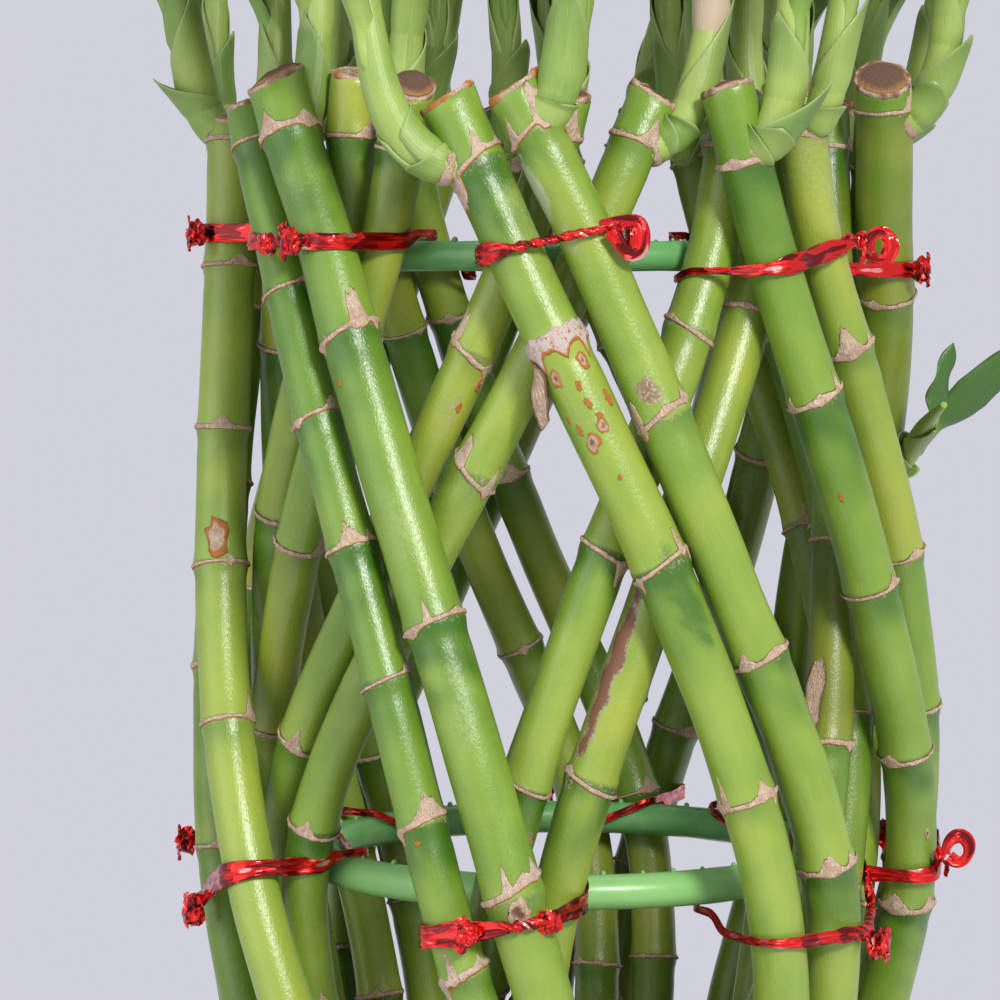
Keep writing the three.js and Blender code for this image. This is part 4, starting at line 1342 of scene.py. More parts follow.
@dataclass
class Cane(Stem):
    """One cane: its curve, the surface round it, its node rings, blisters and cut end. It runs by height."""

    layer: Layer
    pair: int
    member: int
    kit: Kit
    finishes: Sequence[Material]

    TOP_JOINT = 287
    LOWEST_JOINT = 75
    GRAIN_STEP = 31.7
    JOINT_SWELL = ((0.16, 0.0, 8.0), (-0.16, -3.2, 2.0))
    LUMPS = 0.11
    OVAL = 0.012
    RIM_REACH = 0.97
    BURIED_SHARE = 0.04
    BURIED_TOP = 60.0
    OPEN_BLISTER = 1.9
    SMALL_BLISTER = 0.75
    SCAB_RELIEF = 0.5
    FLAP_HALF = 2.0
    ROUNDED = 1.2
    ROUND_OFF = 0.45
    SLANTED = 6
    CLEAR_OF_GRAVEL = 4
    SKIN, PAPER, CUT_WOOD, LEAF = range(4)

    def __post_init__(self) -> None:
        """Plans the cane as the solids have it."""
        layer, pair, seed = self.layer, self.pair, self.layer.seed + self.pair * 2 + self.member
        self.name = f"{layer.title}_{pair + 1}{'ab'[self.member]}"
        self.seed = seed
        given = GIVEN.get(self.name)
        upper = UPPER_TIES[pair].azimuth
        below = LOWER_TIES[(pair + layer.turn) % len(LOWER_TIES)].azimuth
        lower = below + 360 * round((upper + layer.turn * PAIR_TURN - below) / 360)
        top, foot = upper - layer.turn * CUT_TURN, lower + layer.turn * GRAVEL_TURN
        middle = np.array([top, upper, (upper + lower) / 2, lower, foot])
        ruled = middle + self.side * layer.spread
        self.azimuth = np.array(given.azimuth, float) if given else ruled
        self.width = given.width if given else layer.width + draw(seed)
        self.joints = list(given.joints) if given else []
        if not self.joints:
            pitch = 33 + 9 * draw(seed + 0.3)
            z = self.TOP_JOINT - 6 * draw(seed + 0.6)
            while z > self.LOWEST_JOINT:
                self.joints.append(z)
                z -= pitch
        self.cut = given.cut if given and given.cut else CUT + CUT_UNEVENNESS * (draw(seed + 0.9) - 0.5)
        self.sheaf = Sheaf(f"cane_{self.name}", self.finishes)

    @property
    def side(self) -> int:
        """Which side of its pair the cane stands on."""
        return -1 if self.member == 0 else 1

    @property
    def half(self) -> float:
        """Half the width."""
        return self.width / 2

    def centre(self, run: Number) -> Array:
        """Points of the centre line at heights.

        Args:
            run: Heights.

        Returns:
            The points.
        """
        height = np.asarray(run, float)
        radius = at_level(OUTER_RADIUS, height) - (0 if self.layer is Layer.OUTER else LAYER_STEP)
        point = heading(at_level(self.azimuth, height)) * radius[..., None]
        point[..., 0] += at_level(AXIS_DRIFT, height)
        point[..., 2] = height
        return point

    def axes(self, run: Array) -> tuple[Array, Array, Array]:
        """Unit vectors outwards, sideways and along the cane at heights."""
        along = unit(self.centre(run + 0.5) - self.centre(run - 0.5))
        out = heading(at_level(self.azimuth, run))
        out = unit(out - along * dot(out, along))
        return out, np.cross(along, out), along

    def grain(self, z: Array, turn: Array) -> Array:
        """Places in the cane's own straight pattern."""
        return self.half * spoke(turn) + columns(0.0, 0.0, z + self.GRAIN_STEP * self.seed)

    def skin(self, run: Array, turn: Number = 0.0) -> Array:
        """Radius of the cane at heights and turns.

        Args:
            run: Heights.
            turn: Turns round the cane.

        Returns:
            The radii.
        """
        radius = np.full_like(np.asarray(run, float), self.half)
        for i, joint in enumerate(self.joints):
            radius += (0.24 + 0.16 * draw(self.seed + i * 0.7)) * bell(run - joint, 1.9)
            for height, below, width in self.JOINT_SWELL:
                radius += height * bell(run - joint - below, width)
        radius += self.LUMPS * ripple(self.grain(run, turn), self.seed, 26)
        return radius * (1 + self.OVAL * np.cos(np.radians(turn * 2) + self.seed))

    def turn_of(self, view: float, z: float) -> float:
        """Turn that faces a direction which the camera sees at view degrees right of the middle."""
        return view - float(at_level(self.azimuth, z))

    def slant(self, turn: Array) -> Array:
        """How far the cut end falls at turns on the surface."""
        facing = math.radians(self.turn_of(self.end.view, self.cut))
        return self.end.slant * self.half * np.cos(np.radians(turn) - facing)

    def body(self) -> None:
        """Adds the body."""
        share = self.kit.bar.points[:, 2]
        turn, reach = self.kit.bar.turn, self.kit.bar.reach
        buried = np.minimum(share / self.BURIED_SHARE, 1)
        free = np.maximum(share - self.BURIED_SHARE, 0) / (1 - self.BURIED_SHARE)
        z = BUTT + buried * (self.BURIED_TOP - BUTT) + free * (self.cut - self.BURIED_TOP)
        on_cap = (share > 0.9999) & (reach < self.RIM_REACH)
        round_off = -self.ROUND_OFF * ease(self.cut - self.ROUNDED, self.cut, z) * (reach > self.RIM_REACH)
        uneven = 0.3 * ripple(columns(reach * self.half, np.radians(turn) * 2, 0.0), self.seed + 7, 3)
        dish = np.where(on_cap, self.end.dome * (1 - reach**2) + uneven * (1 - reach), 0)
        points = self.place(z, turn, round_off, reach)
        points[:, 2] += dish - self.slant(turn) * reach * ease(self.cut - self.SLANTED, self.cut, z)
        marks = self.marks(z, turn)
        marks[on_cap, 0] = reach[on_cap]
        marks[on_cap, 1] = self.end.age
        finish = np.where(self.kit.bar.normals[:, 2] > Workshop.FACING_UP, self.CUT_WOOD, self.SKIN)
        grain = self.grain(z, turn) * columns(reach, reach, 1.0)
        self.sheaf.add(self.kit.bar, points, finish, grain, marks, self.habit(z))

    @property
    def end(self) -> Cut:
        """The cut end, given or drawn."""
        dice = [draw(self.seed + 0.15 * k) for k in range(1, 5)]
        return CUTS.get(self.name) or Cut(0.1 + 0.25 * dice[0], 360 * dice[1], 1.2 * dice[2], dice[3])

    def marks(self, z: Array, turn: Array) -> Array:
        """Shade, stain and bloom at places.

        Args:
            z: Heights.
            turn: Turns.

        Returns:
            A row for each place.
        """
        marks = np.zeros((len(z), 3))
        grain = self.grain(z, turn)
        given = TONES.get(self.name, ())
        for i, joint in enumerate(self.joints):
            below = joint - z
            shade = given[i + 1][2] if i + 1 < len(given) else 0.3 + 0.6 * draw(self.seed * 5 + i * 1.3)
            depth = 6 + 9 * shade + 3 * draw(self.seed * 3 + i)
            fade = np.exp(-np.maximum(below, 0) / depth) * (below > -0.4)
            cloudy = (0.15 + shade) * fade * (1 + 0.3 * ripple(grain, self.seed + i, 9))
            marks[:, 0] = np.maximum(marks[:, 0], cloudy)
            marks[:, 1] = np.maximum(marks[:, 1], 0.42 * bell(below, 1.6))
        marks[:, 2] += 0.22 * np.maximum(ripple(grain * [1, 1, 0.5], self.seed + 40, 18), 0)
        for patch in PATCHES.get(self.name, ()):
            channel = patch.mark.value
            middle = (patch.low + patch.high) / 2
            gap = turn_gap(turn, self.turn_of(patch.view, middle)) / patch.width
            rise = (z - middle) / (patch.high - middle)
            soft = 0.15 if patch.mark is Mark.SHADE else 0.6
            inside = 1 - ease(soft, 1.15, np.hypot(gap, rise) + 0.2 * ripple(grain, self.seed + 3, 4))
            marks[:, channel] = np.maximum(marks[:, channel], inside * patch.amount)
        return marks

    def habit(self, z: Array) -> Array:
        """Lightness, yellowness and wear at heights.

        Args:
            z: Heights.

        Returns:
            A row for each height.
        """
        stretch = sum((z < joint).astype(int) for joint in self.joints)
        given = TONES.get(self.name)
        rows = []
        for i in range(len(self.joints) + 1):
            if given:
                light, yellow, _ = given[min(i, len(given) - 1)]
            else:
                light, yellow = 0.15 + 0.4 * draw(self.seed * 2 + i), 0.4 + 0.5 * draw(self.seed * 4 + i)
            rows.append((light, yellow, draw(self.seed + i)))
        habit = np.array(rows)[stretch]
        for i, joint in enumerate(self.joints):
            habit[:, 0] += 0.12 * np.clip((joint - z) / 34, 0, 1) * (stretch == i + 1)
        return habit

    def ring_of(self, index: int) -> RingPlan:
        """The ring of a joint, given or drawn.

        Args:
            index: Number of the joint.

        Returns:
            Its plan.
        """
        dice = [draw(self.seed * 11 + index * 3.7 + k) for k in range(6)]
        side = 180 * (index % 2) + 70 * dice[0]
        first = (side, 34 + 30 * dice[1], 2 + 3.4 * dice[2], 0.6 * dice[3])
        second = (side + 120 + 60 * dice[3], 18 + 16 * dice[4], 1.6 * dice[5], 1.4 * dice[0])
        drawn = ring_plan(0.9 + 0.6 * dice[4], (first, second), 0.9 * (dice[5] - 0.3), 360 * dice[1])
        return RINGS.get((self.name, index), drawn)

    def node_ring(self, index: int) -> None:
        """Adds the dry ring of a joint, with its pointed scars.

        Args:
            index: Number of the joint, from the top.
        """
        joint = self.joints[index]
        plan = self.ring_of(index)
        turn = self.kit.node_ring.turn
        outer, upper = self.kit.node_ring.section
        seed = self.seed * 13 + index
        round_it = spoke(turn) * self.half
        rough = ripple(round_it, seed, 2.2) * 0.2 + ripple(round_it, seed + 1, 6) * 0.2
        half_band = plan.band * 0.4
        up = half_band * (1 + rough * 1.1)
        down = half_band * (1 + ripple(round_it, seed + 2, 2.6) * 0.35)
        for tab in plan.tabs:
            away = np.abs(turn_gap(turn, self.turn_of(tab.view, joint)))
            near = np.maximum(1 - away / (tab.width / 2 * 1.35), 0)
            near = ease(0.05, 0.45, near) if tab.blunt else near**1.5
            ragged = (1.1 + 0.24 * ripple(round_it * 2, seed + 5, 2.0)) * near
            up = np.maximum(up, half_band + tab.up * ragged)
            down = np.maximum(down, half_band + tab.down * ragged)
        slope = plan.slope * np.cos(np.radians(turn_gap(turn, self.turn_of(plan.slope_view, joint))))
        reach = np.where(upper > 0, up, down)
        z = joint + plan.shift + slope + upper * reach
        thick = plan.relief * (0.7 + 0.4 * ripple(self.grain(z, turn), seed + 9, 1.6))
        thin = np.clip(1.4 / np.maximum(up + down, 0.1), 0.4, 1)
        lift = np.where(outer > 0, outer * thick * thin + 0.02, outer * 0.6)
        lift = np.where(np.abs(upper) > 0.99, -0.05 + 0.12 * (rough > 0.1), lift)
        inset = (1 - np.abs(upper)) * reach
        edge = np.clip(1 - inset / 0.4, 0, 1)
        scab = min(max(plan.relief - self.SCAB_RELIEF, 0) / 0.4, 1)
        weep = np.clip(1.6 - inset / 0.7, 0, 1) * scab
        warm = 0.2 + 0.3 * rough + (0.7 * edge + 0.8 * weep) * (upper < 0)
        marks = columns(edge * (1 - 0.8 * weep), warm, scab)
        self.sheaf.add(self.kit.node_ring, self.place(z, turn, lift), self.PAPER, self.grain(z, turn), marks)

    def blister(self, spot: Spot) -> None:
        """Adds a corky blister with a raised rim.

        Args:
            spot: Its place and size.
        """
        x, y, height = self.kit.lens.points.T
        away = self.kit.lens.reach
        uneven = 1 + 0.35 * ripple(columns(x, y, 0.0), int(spot.z * 10), 1.0)
        turn = self.turn_of(spot.view, spot.z) + np.degrees(x * uneven * spot.across / self.half)
        z = spot.z + y * uneven * spot.up
        rim = bell(away - 0.82, 0.2)
        crater = 0.14 + 0.2 * rim - 0.08 * (1 - away)
        lift = np.where(height > 0, crater * np.sqrt(np.abs(height)) * 1.1, -0.3 * np.abs(height))
        if spot.scar:
            pit, warm = 0.95 * bell(away, 0.6) + 0.1, 0.2 + 0.35 * rim
        elif spot.across > self.OPEN_BLISTER:
            pit, warm = 0.25 - 0.1 * rim, 1.3 * rim
        else:
            pit, warm = 0.4 + 0.6 * bell(away, 0.36), 1.2 * rim if spot.across > self.SMALL_BLISTER else 1.05
        marks = columns(pit, warm, 0.0)
        self.sheaf.add(self.kit.lens, self.place(z, turn, lift), self.PAPER, self.grain(z, turn), marks)

    def rim(self) -> None:
        """Adds the corky rim of the cut end."""
        turn = self.kit.node_ring.turn
        outer, upper = self.kit.node_ring.section
        age = self.end.age
        rough = ripple(spoke(turn) * self.half, self.seed + 77, 3)
        z = self.cut - 0.3 + upper * (0.6 + 0.3 * rough)
        points = self.place(z, turn, -0.5 + outer * (0.5 + 0.2 * rough))
        points[:, 2] -= self.slant(turn)
        marks = columns(0.3 + 0.3 * rough + 0.25 * age, 0.75 - 0.5 * age + 0.3 * rough, 0.0)
        self.sheaf.add(self.kit.node_ring, points, self.PAPER, self.grain(z, turn), marks)

    def torn_flap(self, flap: Flap) -> None:
        """Adds a dry strip of sheath that hangs from a ring.

        Args:
            flap: Its plan.
        """
        u, share, thick = self.kit.flap.points.T
        taper = np.sin(np.clip(0.18 + share * 0.95, 0, 1) * math.pi * 0.86)
        half = self.FLAP_HALF * taper * (1 + 0.2 * np.sin(share * 9))
        turn = self.turn_of(flap.view, flap.z) + np.degrees((u * half - share * 0.6) / self.half)
        z = flap.z - share * flap.length + 0.6 * u
        curl = 4.6 * share - 1.4 * share**2 - 0.85 * half * u * ease(0, 0.45, share)
        lift = 0.25 + curl * flap.stand + 0.3 * u**2 + (0.5 - thick) * 0.45
        marks = columns(np.abs(u) ** 2 * 0.7 + 0.2, 0.1, 0.0)
        self.sheaf.add(self.kit.flap, self.place(z, turn, lift), self.PAPER, self.grain(z, turn), marks)

    def make(self) -> Object:
        """The finished cane, with its shoots."""
        self.body()
        for index, joint in enumerate(self.joints):
            if joint > GRAVEL + self.CLEAR_OF_GRAVEL:
                self.node_ring(index)
        self.rim()
        for spot in SPOTS.get(self.name, ()):
            self.blister(spot)
        if self.name in FLAPS:
            self.torn_flap(FLAPS[self.name])
        Shoot.planned(self).make()
        if self.name == SIDE_SHOOT_CANE:
            Shoot(self, SIDE_SHOOT, SIDE_SHOOT_WIDTH, SIDE_FOLIAGE).make()
        return self.sheaf.build()


@dataclass(frozen=True)
class LeafShape:
    """A leaf from sheath to tip: half width and roll at shares of its free length, and its sheath."""

    shares: tuple[float, ...]
    halves: tuple[float, ...]
    rolls: tuple[float, ...]
    sheath: float
    thickness: float
    wave: float


BLADE = LeafShape(
    shares=(0, 0.05, 0.2, 0.42, 0.7, 0.9, 1),
    halves=(3.7, 3.6, 5.6, 7.2, 5.2, 2.0, 0.15),
    rolls=(1.7, 1.3, 0.6, 0.36, 0.32, 0.3, 0.2),
    sheath=9,
    thickness=0.5,
    wave=0.7,
)


@dataclass(frozen=True)
class BladePlan:
    """A blade: where it leaves its shoot, its turn from outwards, its climb at root and tip, its size."""

    at: float
    turn: float
    root: float
    tip: float
    scale: float
    twist: float = 0.0


@dataclass(frozen=True)
class Foliage:
    """The blades of a kind of shoot, with the length and width of a full one."""

    blades: tuple[BladePlan, ...]
    length: float
    width: float


OUTER_FOLIAGE = Foliage(
    (
        BladePlan(0.66, -6, 66, 4, 0.86),
        BladePlan(0.76, 6, 72, 22, 0.96),
        BladePlan(0.87, -3, 80, 44, 1),
        BladePlan(0.94, 3, 87, 72, 0.84),
    ),
    84,
    14.5,
)
INNER_FOLIAGE = Foliage(
    (
        BladePlan(0.7, 170, 84, 68, 0.7),
        BladePlan(0.82, 8, 86, 72, 0.9),
        BladePlan(0.93, 184, 88, 76, 0.86),
    ),
    74,
    11,
)
SIDE_FOLIAGE = Foliage((BladePlan(0.55, 0, 50, 38, 1, -1.1), BladePlan(0.8, 12, 80, 70, 0.5, -0.6)), 36, 10)


@dataclass(frozen=True)
class Sheath:
    """A leaf base round a stem: its start, the azimuth of its tip, its length and how far the tip stands off.

    It is dry or not, and the clasp is the share of it that holds the stem.
    """

    at: float
    side: float
    length: float
    flare: float
    dry: float = 0.0
    clasp: float = 0.4


SHEATHS = several(Sheath, {
    "outer_1b": ((0.24, -84, 13, 4.4, 0, 0.12), (0.3, 60, 26, 0.3, 0, 0.3)),
    "outer_2a": ((0.3, -120, 26, 0.4, 0, 0.3),),
    "outer_2b": ((0.16, -40, 26, 0.4, 0, 0.3), (0.55, 120, 20, 0.6, 0, 0.3)),
    "outer_3a": ((0.1, -60, 8, 0.4, 0, 0.1), (0.1, 150, 22, 0.0, 0, 0.62)),
    "outer_3b": ((0.1, 60, 9, 0.9, 0, 0.75), (0.24, -10, 25, 0.5, 0, 0.12)),
    "outer_4a": (
        (0.08, -70, 9, 1.8, 0, 0.1), (0.12, 80, 21, 5.0, 0, 0.1), (0.1, 10, 11, 1.6, 0, 0.15),
        (0.36, -50, 18, 0.5, 0, 0.2),
    ),
    "outer_4b": ((0.1, 60, 11, 0.8, 0, 0.6), (0.3, 80, 22, 2.0, 0, 0.12)),
    "outer_5a": ((0.14, -10, 14, 0.6, 0, 0.3), (0.28, 60, 17, 2.6, 0, 0.12), (0.5, -80, 20, 0.6, 0, 0.2)),
    "outer_5b": ((0.1, 70, 10, 2.2, 0, 0.1), (0.35, -60, 20, 0.6, 0, 0.2)),
    "inner_3b": (
        (0.14, 30, 9, 1.4, 0, 0.7), (0.12, -80, 10, 2.2, 0, 0.1), (0.3, 90, 26, 0.9, 0, 0.12),
        (0.56, -50, 15, 3.4, 1, 0.1),
    ),
    "inner_4a": ((0.12, 20, 18, 1.4, 0, 0.25), (0.45, -80, 18, 0.6, 0, 0.25)),
})
SHOOT_WIDTHS = {
    "outer_1b": 8.2, "outer_3a": 7.9, "outer_3b": 8.0, "outer_2b": 7.4, "outer_4a": 7.8, "outer_4b": 7.0,
}


@dataclass
class Shoot(Stem):
    """A leafy shoot of a cane: its stem, the sheaths round it and its blades. It runs by its share."""

    cane: Cane
    plan: ShootPlan
    width: float
    foliage: Foliage

    REACH_PAST = 1.2
    PLAIN_WIDTH = 7.2
    TAPER = ((0, 0.04, 0.4, 0.75), (0.95, 1.04, 1.06, 0.8), 0.7)
    COLLAR_BAND = 2.2
    COLLAR_RISE = 0.6
    FULL_WIDTH = 14.5
    BLADE_AGE = 0.95
    CLASP_TURN = 176
    FREE_TURN = 155
    LEAST_RISE = 20

    def __post_init__(self) -> None:
        """Lays the shoot's curve."""
        cane, plan = self.cane, self.plan
        self.kit, self.sheaf = cane.kit, cane.sheaf
        root = cane.centre(plan.z)
        out = heading(plan.direction)
        rising = root + out * plan.reach + np.array([0, 0, plan.rise * 0.5])
        top = heading(plan.slot) * plan.radius
        top[2] = root[2] + plan.rise
        self.knots = np.array([root, root + out * plan.reach * self.REACH_PAST, rising, top])
        self.side = np.cross([0, 0, 1], out)
        points = self.centre(np.linspace(0, 1, 40))
        self.length = float(np.linalg.norm(np.diff(points, axis=0), axis=1).sum())

    @classmethod
    def planned(cls, cane: Cane) -> "Shoot":
        """The shoot of a cane, given or by rule.

        Args:
            cane: The cane.

        Returns:
            The shoot.
        """
        outer = cane.layer is Layer.OUTER
        top = float(cane.azimuth[0])
        ruled = ShootPlan(
            z=284 + 4 * draw(cane.seed + 0.2),
            direction=top + (0 if outer else 180),
            reach=9.4,
            slot=top + (5 if outer else 4) * cane.side,
            radius=82 if outer else 50,
        )
        rise = (46 if outer else 58) + 8 * draw(cane.seed + 0.7)
        plan = replace(GIVEN_SHOOTS.get(cane.name, ruled), rise=rise)
        width = SHOOT_WIDTHS.get(cane.name, cls.PLAIN_WIDTH)
        return cls(cane, plan, width, OUTER_FOLIAGE if outer else INNER_FOLIAGE)

    def centre(self, run: Number) -> Array:
        """Points of the centre line at shares."""
        s = np.clip(np.asarray(run, float), 0, 1)[..., None]
        a, b, c, d = self.knots
        return a * (1 - s) ** 3 + 3 * b * s * (1 - s) ** 2 + 3 * c * s * s * (1 - s) + d * s**3

    def axes(self, run: Array) -> tuple[Array, Array, Array]:
        """Unit vectors below or outwards, sideways and along the shoot at shares."""
        along = unit(self.centre(run + 0.01) - self.centre(run - 0.01))
        side = unit(self.side - along * dot(along, self.side))
        return np.cross(side, along), side, along

    def skin(self, run: Array, turn: Number = 0.0) -> Array:
        """Radius at shares."""
        shares, halves, tip = self.TAPER
        return np.interp(run, [*shares, 1], [*(self.width / 2 * half for half in halves), tip])

    def stalk(self) -> None:
        """Adds the stem."""
        share, turn = self.kit.stem.points[:, 2], self.kit.stem.turn
        grain = columns(np.radians(turn) * 3.8, 0.0, share * self.length + self.cane.seed * 17.0)
        tone = 0.35 + 0.5 * draw(self.cane.seed + 0.33)
        habit = columns(tone + 0.2 * (1 - share), 0.5, 0.5)
        points = self.place(share, turn, 0.0, self.kit.stem.reach)
        self.sheaf.add(self.kit.stem, points, Cane.LEAF, grain, columns(0.25 * share, 0.0, 0.0), habit)

    def collar(self) -> None:
        """Adds the dry ring round the foot of the stem."""
        at = (self.cane.half + self.COLLAR_RISE) / self.length
        outer, upper = self.kit.collar.section
        rough = ripple(self.kit.collar.points * 4, self.cane.seed + int(at * 100), 3)
        run = at + upper * self.COLLAR_BAND * (1 + 0.5 * rough) / 2 / self.length
        points = self.place(run, self.kit.collar.turn, np.where(outer > 0, outer * 0.35, outer * 0.5))
        grain = columns(*(self.kit.collar.points[:, :2] * 4).T, run * self.length)
        marks = columns(0.3 + 0.4 * rough, 0.2 + 0.2 * rough, 0.0)
        self.sheaf.add(self.kit.collar, points, Cane.PAPER, grain, marks)

    def blade(self, number: int) -> None:
        """Adds a leaf with its sheath.

        Args:
            number: Which of them it is.
        """
        plan = self.foliage.blades[number]
        dice = self.cane.seed * 7 + number
        sway, droop, grown = (draw(dice + k * 0.37) - 0.5 for k in range(3))
        seed = self.cane.seed * 9 + number
        length = self.foliage.length * plan.scale * (1 + grown * 0.22)
        u, share, thick = self.kit.leaf.points.T
        out = heading(self.plan.slot + plan.turn + sway * 7)
        side = np.cross([0, 0, 1], out)
        bound_share = BLADE.sheath / (BLADE.sheath + length)
        bound = np.clip(share / bound_share, 0, 1)
        free = np.clip((share - bound_share) / (1 - bound_share), 0, 1)
        column = free[:, None]
        stem_at = plan.at - BLADE.sheath / self.length * (1 - bound)
        base = self.centre(stem_at) + out * (self.skin(stem_at) - 1.1 + 1.25 * ease(0, 0.4, bound))[:, None]
        start = self.centre(plan.at) + out * (float(self.skin(np.array(plan.at))) + 0.15)
        rise = [math.radians(climb) for climb in (plan.root, plan.tip + droop * 16)]
        steps = [(out * math.cos(c) + np.array([0, 0, math.sin(c)])) * length / 2 for c in rise]
        bend, end = start + steps[0], start + steps[0] + steps[1]
        arc = start * (1 - column) ** 2 + 2 * bend * column * (1 - column) + end * column**2
        heading_on = unit(2 * (bend - start) * (1 - column) + 2 * (end - bend) * column)
        middle = np.where(column > 0, arc, base)
        tangent = np.where(column > 0, heading_on, self.axes(stem_at)[2])
        upper = unit(np.cross(tangent, side))
        spin = plan.twist * ease(0, 0.35, column)
        inward = upper * np.cos(spin) - side * np.sin(spin)
        side = side * np.cos(spin) + upper * np.sin(spin)
        half = np.interp(free, BLADE.shares, BLADE.halves) * self.foliage.width / self.FULL_WIDTH
        half *= np.where(free > 0, 1, 0.75 + 0.25 * bound)
        roll = np.interp(free, BLADE.shares, BLADE.rolls) + np.where(free > 0, 0, (1 - bound) * 0.5)
        wave = BLADE.wave * np.sin(free * (7 + 5 * draw(seed)) + 9 * draw(seed + 0.5)) * u**2 * np.sign(u)
        keel = 0.35 * bell(u, 0.14) * (1 - free)
        skin = (0.5 - thick) * BLADE.thickness * (1 - 0.55 * u**2)
        across = (half / roll * np.sin(roll * u))[:, None] * side
        lift = (half / roll * (1 - np.cos(roll * u)) + wave - keel + skin)[:, None] * inward
        grain = columns(u * half, thick, share * (length + BLADE.sheath) + seed * 13)
        tip = ease(0.93, 1.0, share) * (0.6 + 0.6 * draw(seed + 0.8))
        marks = columns(self.BLADE_AGE * ease(0, 0.25, free), tip, 0.0)
        habit = (0.3 + 0.5 * draw(seed + 0.2), 0.5, 0.5)
        self.sheaf.add(self.kit.leaf, middle + across + lift, Cane.LEAF, grain, marks, habit)

    def drawn(self) -> list[Sheath]:
        """Sheaths of a shoot that has none given.

        Returns:
            Its sheaths.
        """
        dice = [draw(self.cane.seed * 3 + k * 0.77) for k in range(8)]
        rows = []
        for k in range(3):
            side = self.plan.slot + 180 * (k % 2) + 80 * (dice[k] - 0.5)
            length, flare = 10 + 5 * k + 6 * dice[k + 4], 0.3 + 2.4 * dice[k] ** 2
            rows.append(Sheath(0.1 + 0.2 * k, side, length, flare, 0, 0.15))
        return rows

    def wrap(self, sheath: Sheath, seed: int) -> None:
        """Adds a sheath that clasps the stem and ends in a point.

        Args:
            sheath: Its plan.
            seed: Which draws it takes.
        """
        u, share, thick = self.kit.clasp.points.T
        run = share * sheath.length * min(self.width / 7, 1)
        free = np.clip((share - sheath.clasp) / (1 - sheath.clasp), 0, 1)
        clasped = self.CLASP_TURN * (1 - 0.12 * share / max(sheath.clasp, 0.1))
        half = np.where(share > sheath.clasp, self.FREE_TURN * (1 - free**1.35) + 2.5, clasped)
        stand = sheath.flare * free**1.6
        lift = -0.5 + 0.6 * ease(0, 0.3, share) + thick * 0.3 + stand
        turn = sheath.side - self.plan.direction + u * half * (1 - 0.45 * np.minimum(stand / 6, 1))
        grain = columns(np.radians(u * half) * self.width / 2, thick, run + seed * 13)
        rim = np.maximum(np.abs(u) ** 6, ease(0.86, 1, share))
        marks = columns(0.16 + 0.4 * free, rim * 0.5 + sheath.dry * (0.8 + 0.5 * share), rim)
        habit = (0.35 + 0.5 * draw(seed + 0.2), 0.5, 0.5)
        points = self.place(sheath.at + run / self.length, turn, lift)
        self.sheaf.add(self.kit.clasp, points, Cane.LEAF, grain, marks, habit)

    def make(self) -> None:
        """Adds the whole shoot to its cane."""
        self.stalk()
        self.collar()
        given = SHEATHS.get(self.cane.name) if self.plan.rise > self.LEAST_RISE else None
        for k, sheath in enumerate(given or self.drawn()):
            self.wrap(sheath, self.cane.seed * 7 + k)
        for number in range(len(self.foliage.blades)):
            self.blade(number)


@dataclass(frozen=True)
class Hoop:
    """A training hoop inside the lattice, with the small nubs along its top."""

    name: str
    z: float
    radius: float
    wire: float
    nub_pitch: float = 7.9

    @property
    def middle(self) -> Array:
        """Its centre."""
        return np.array([float(at_level(AXIS_DRIFT, self.z)), 0, self.z])

    def make(self, kit: Kit, finish: Material) -> Object:
        """Makes the hoop.

        Args:
            kit: The forms.
            finish: Its material.

        Returns:
            The object.
        """
        sheaf, ring, nub = Sheaf(f"{self.name}_wire", [finish]), kit.hoop, kit.nub
        outer, upper = ring.section
        around = spoke(ring.turn)
        half = self.wire / 2
        thick = half + 0.06 * ripple(around * 60, int(self.z), 14)
        points = self.middle + around * (self.radius + outer * thick)[:, None]
        points[:, 2] += upper * thick
        grain = columns(outer * half, upper * half, np.radians(ring.turn) * self.radius)
        # the lower hoop is pale at its front and fades to the darker green at its back: painted shade on the
        # back
        pale = 0.1 + 0.85 * (self.z == LOWER_HOOP) * ease(0.5, -0.6, ring.points[:, 1])
        sheaf.add(ring, points, 0, grain, habit=columns(pale, 0.5, 0.5))
        count = round(2 * math.pi * self.radius / self.nub_pitch)
        for i in range(count):
            out = spoke(np.array(360 * (i + 0.3 * draw(i + self.z)) / count))
            seat = self.middle + out * (self.radius + 0.5 * (draw(i * 2 + self.z) - 0.5)) + [0, 0, half]
            size = 0.45 + 0.25 * draw(i * 3 + self.z)
            points = seat + nub.points * [size, size, size * 1.3]
            sheaf.add(nub, points, 0, nub.points + i * 3.0, habit=(float(pale[0]), 0.5, 0.5))
        return sheaf.build()


HOOPS = (Hoop("hoop_upper", UPPER_HOOP, 50.2, 6.4), Hoop("hoop_lower", LOWER_HOOP, 54.4, 7.4))


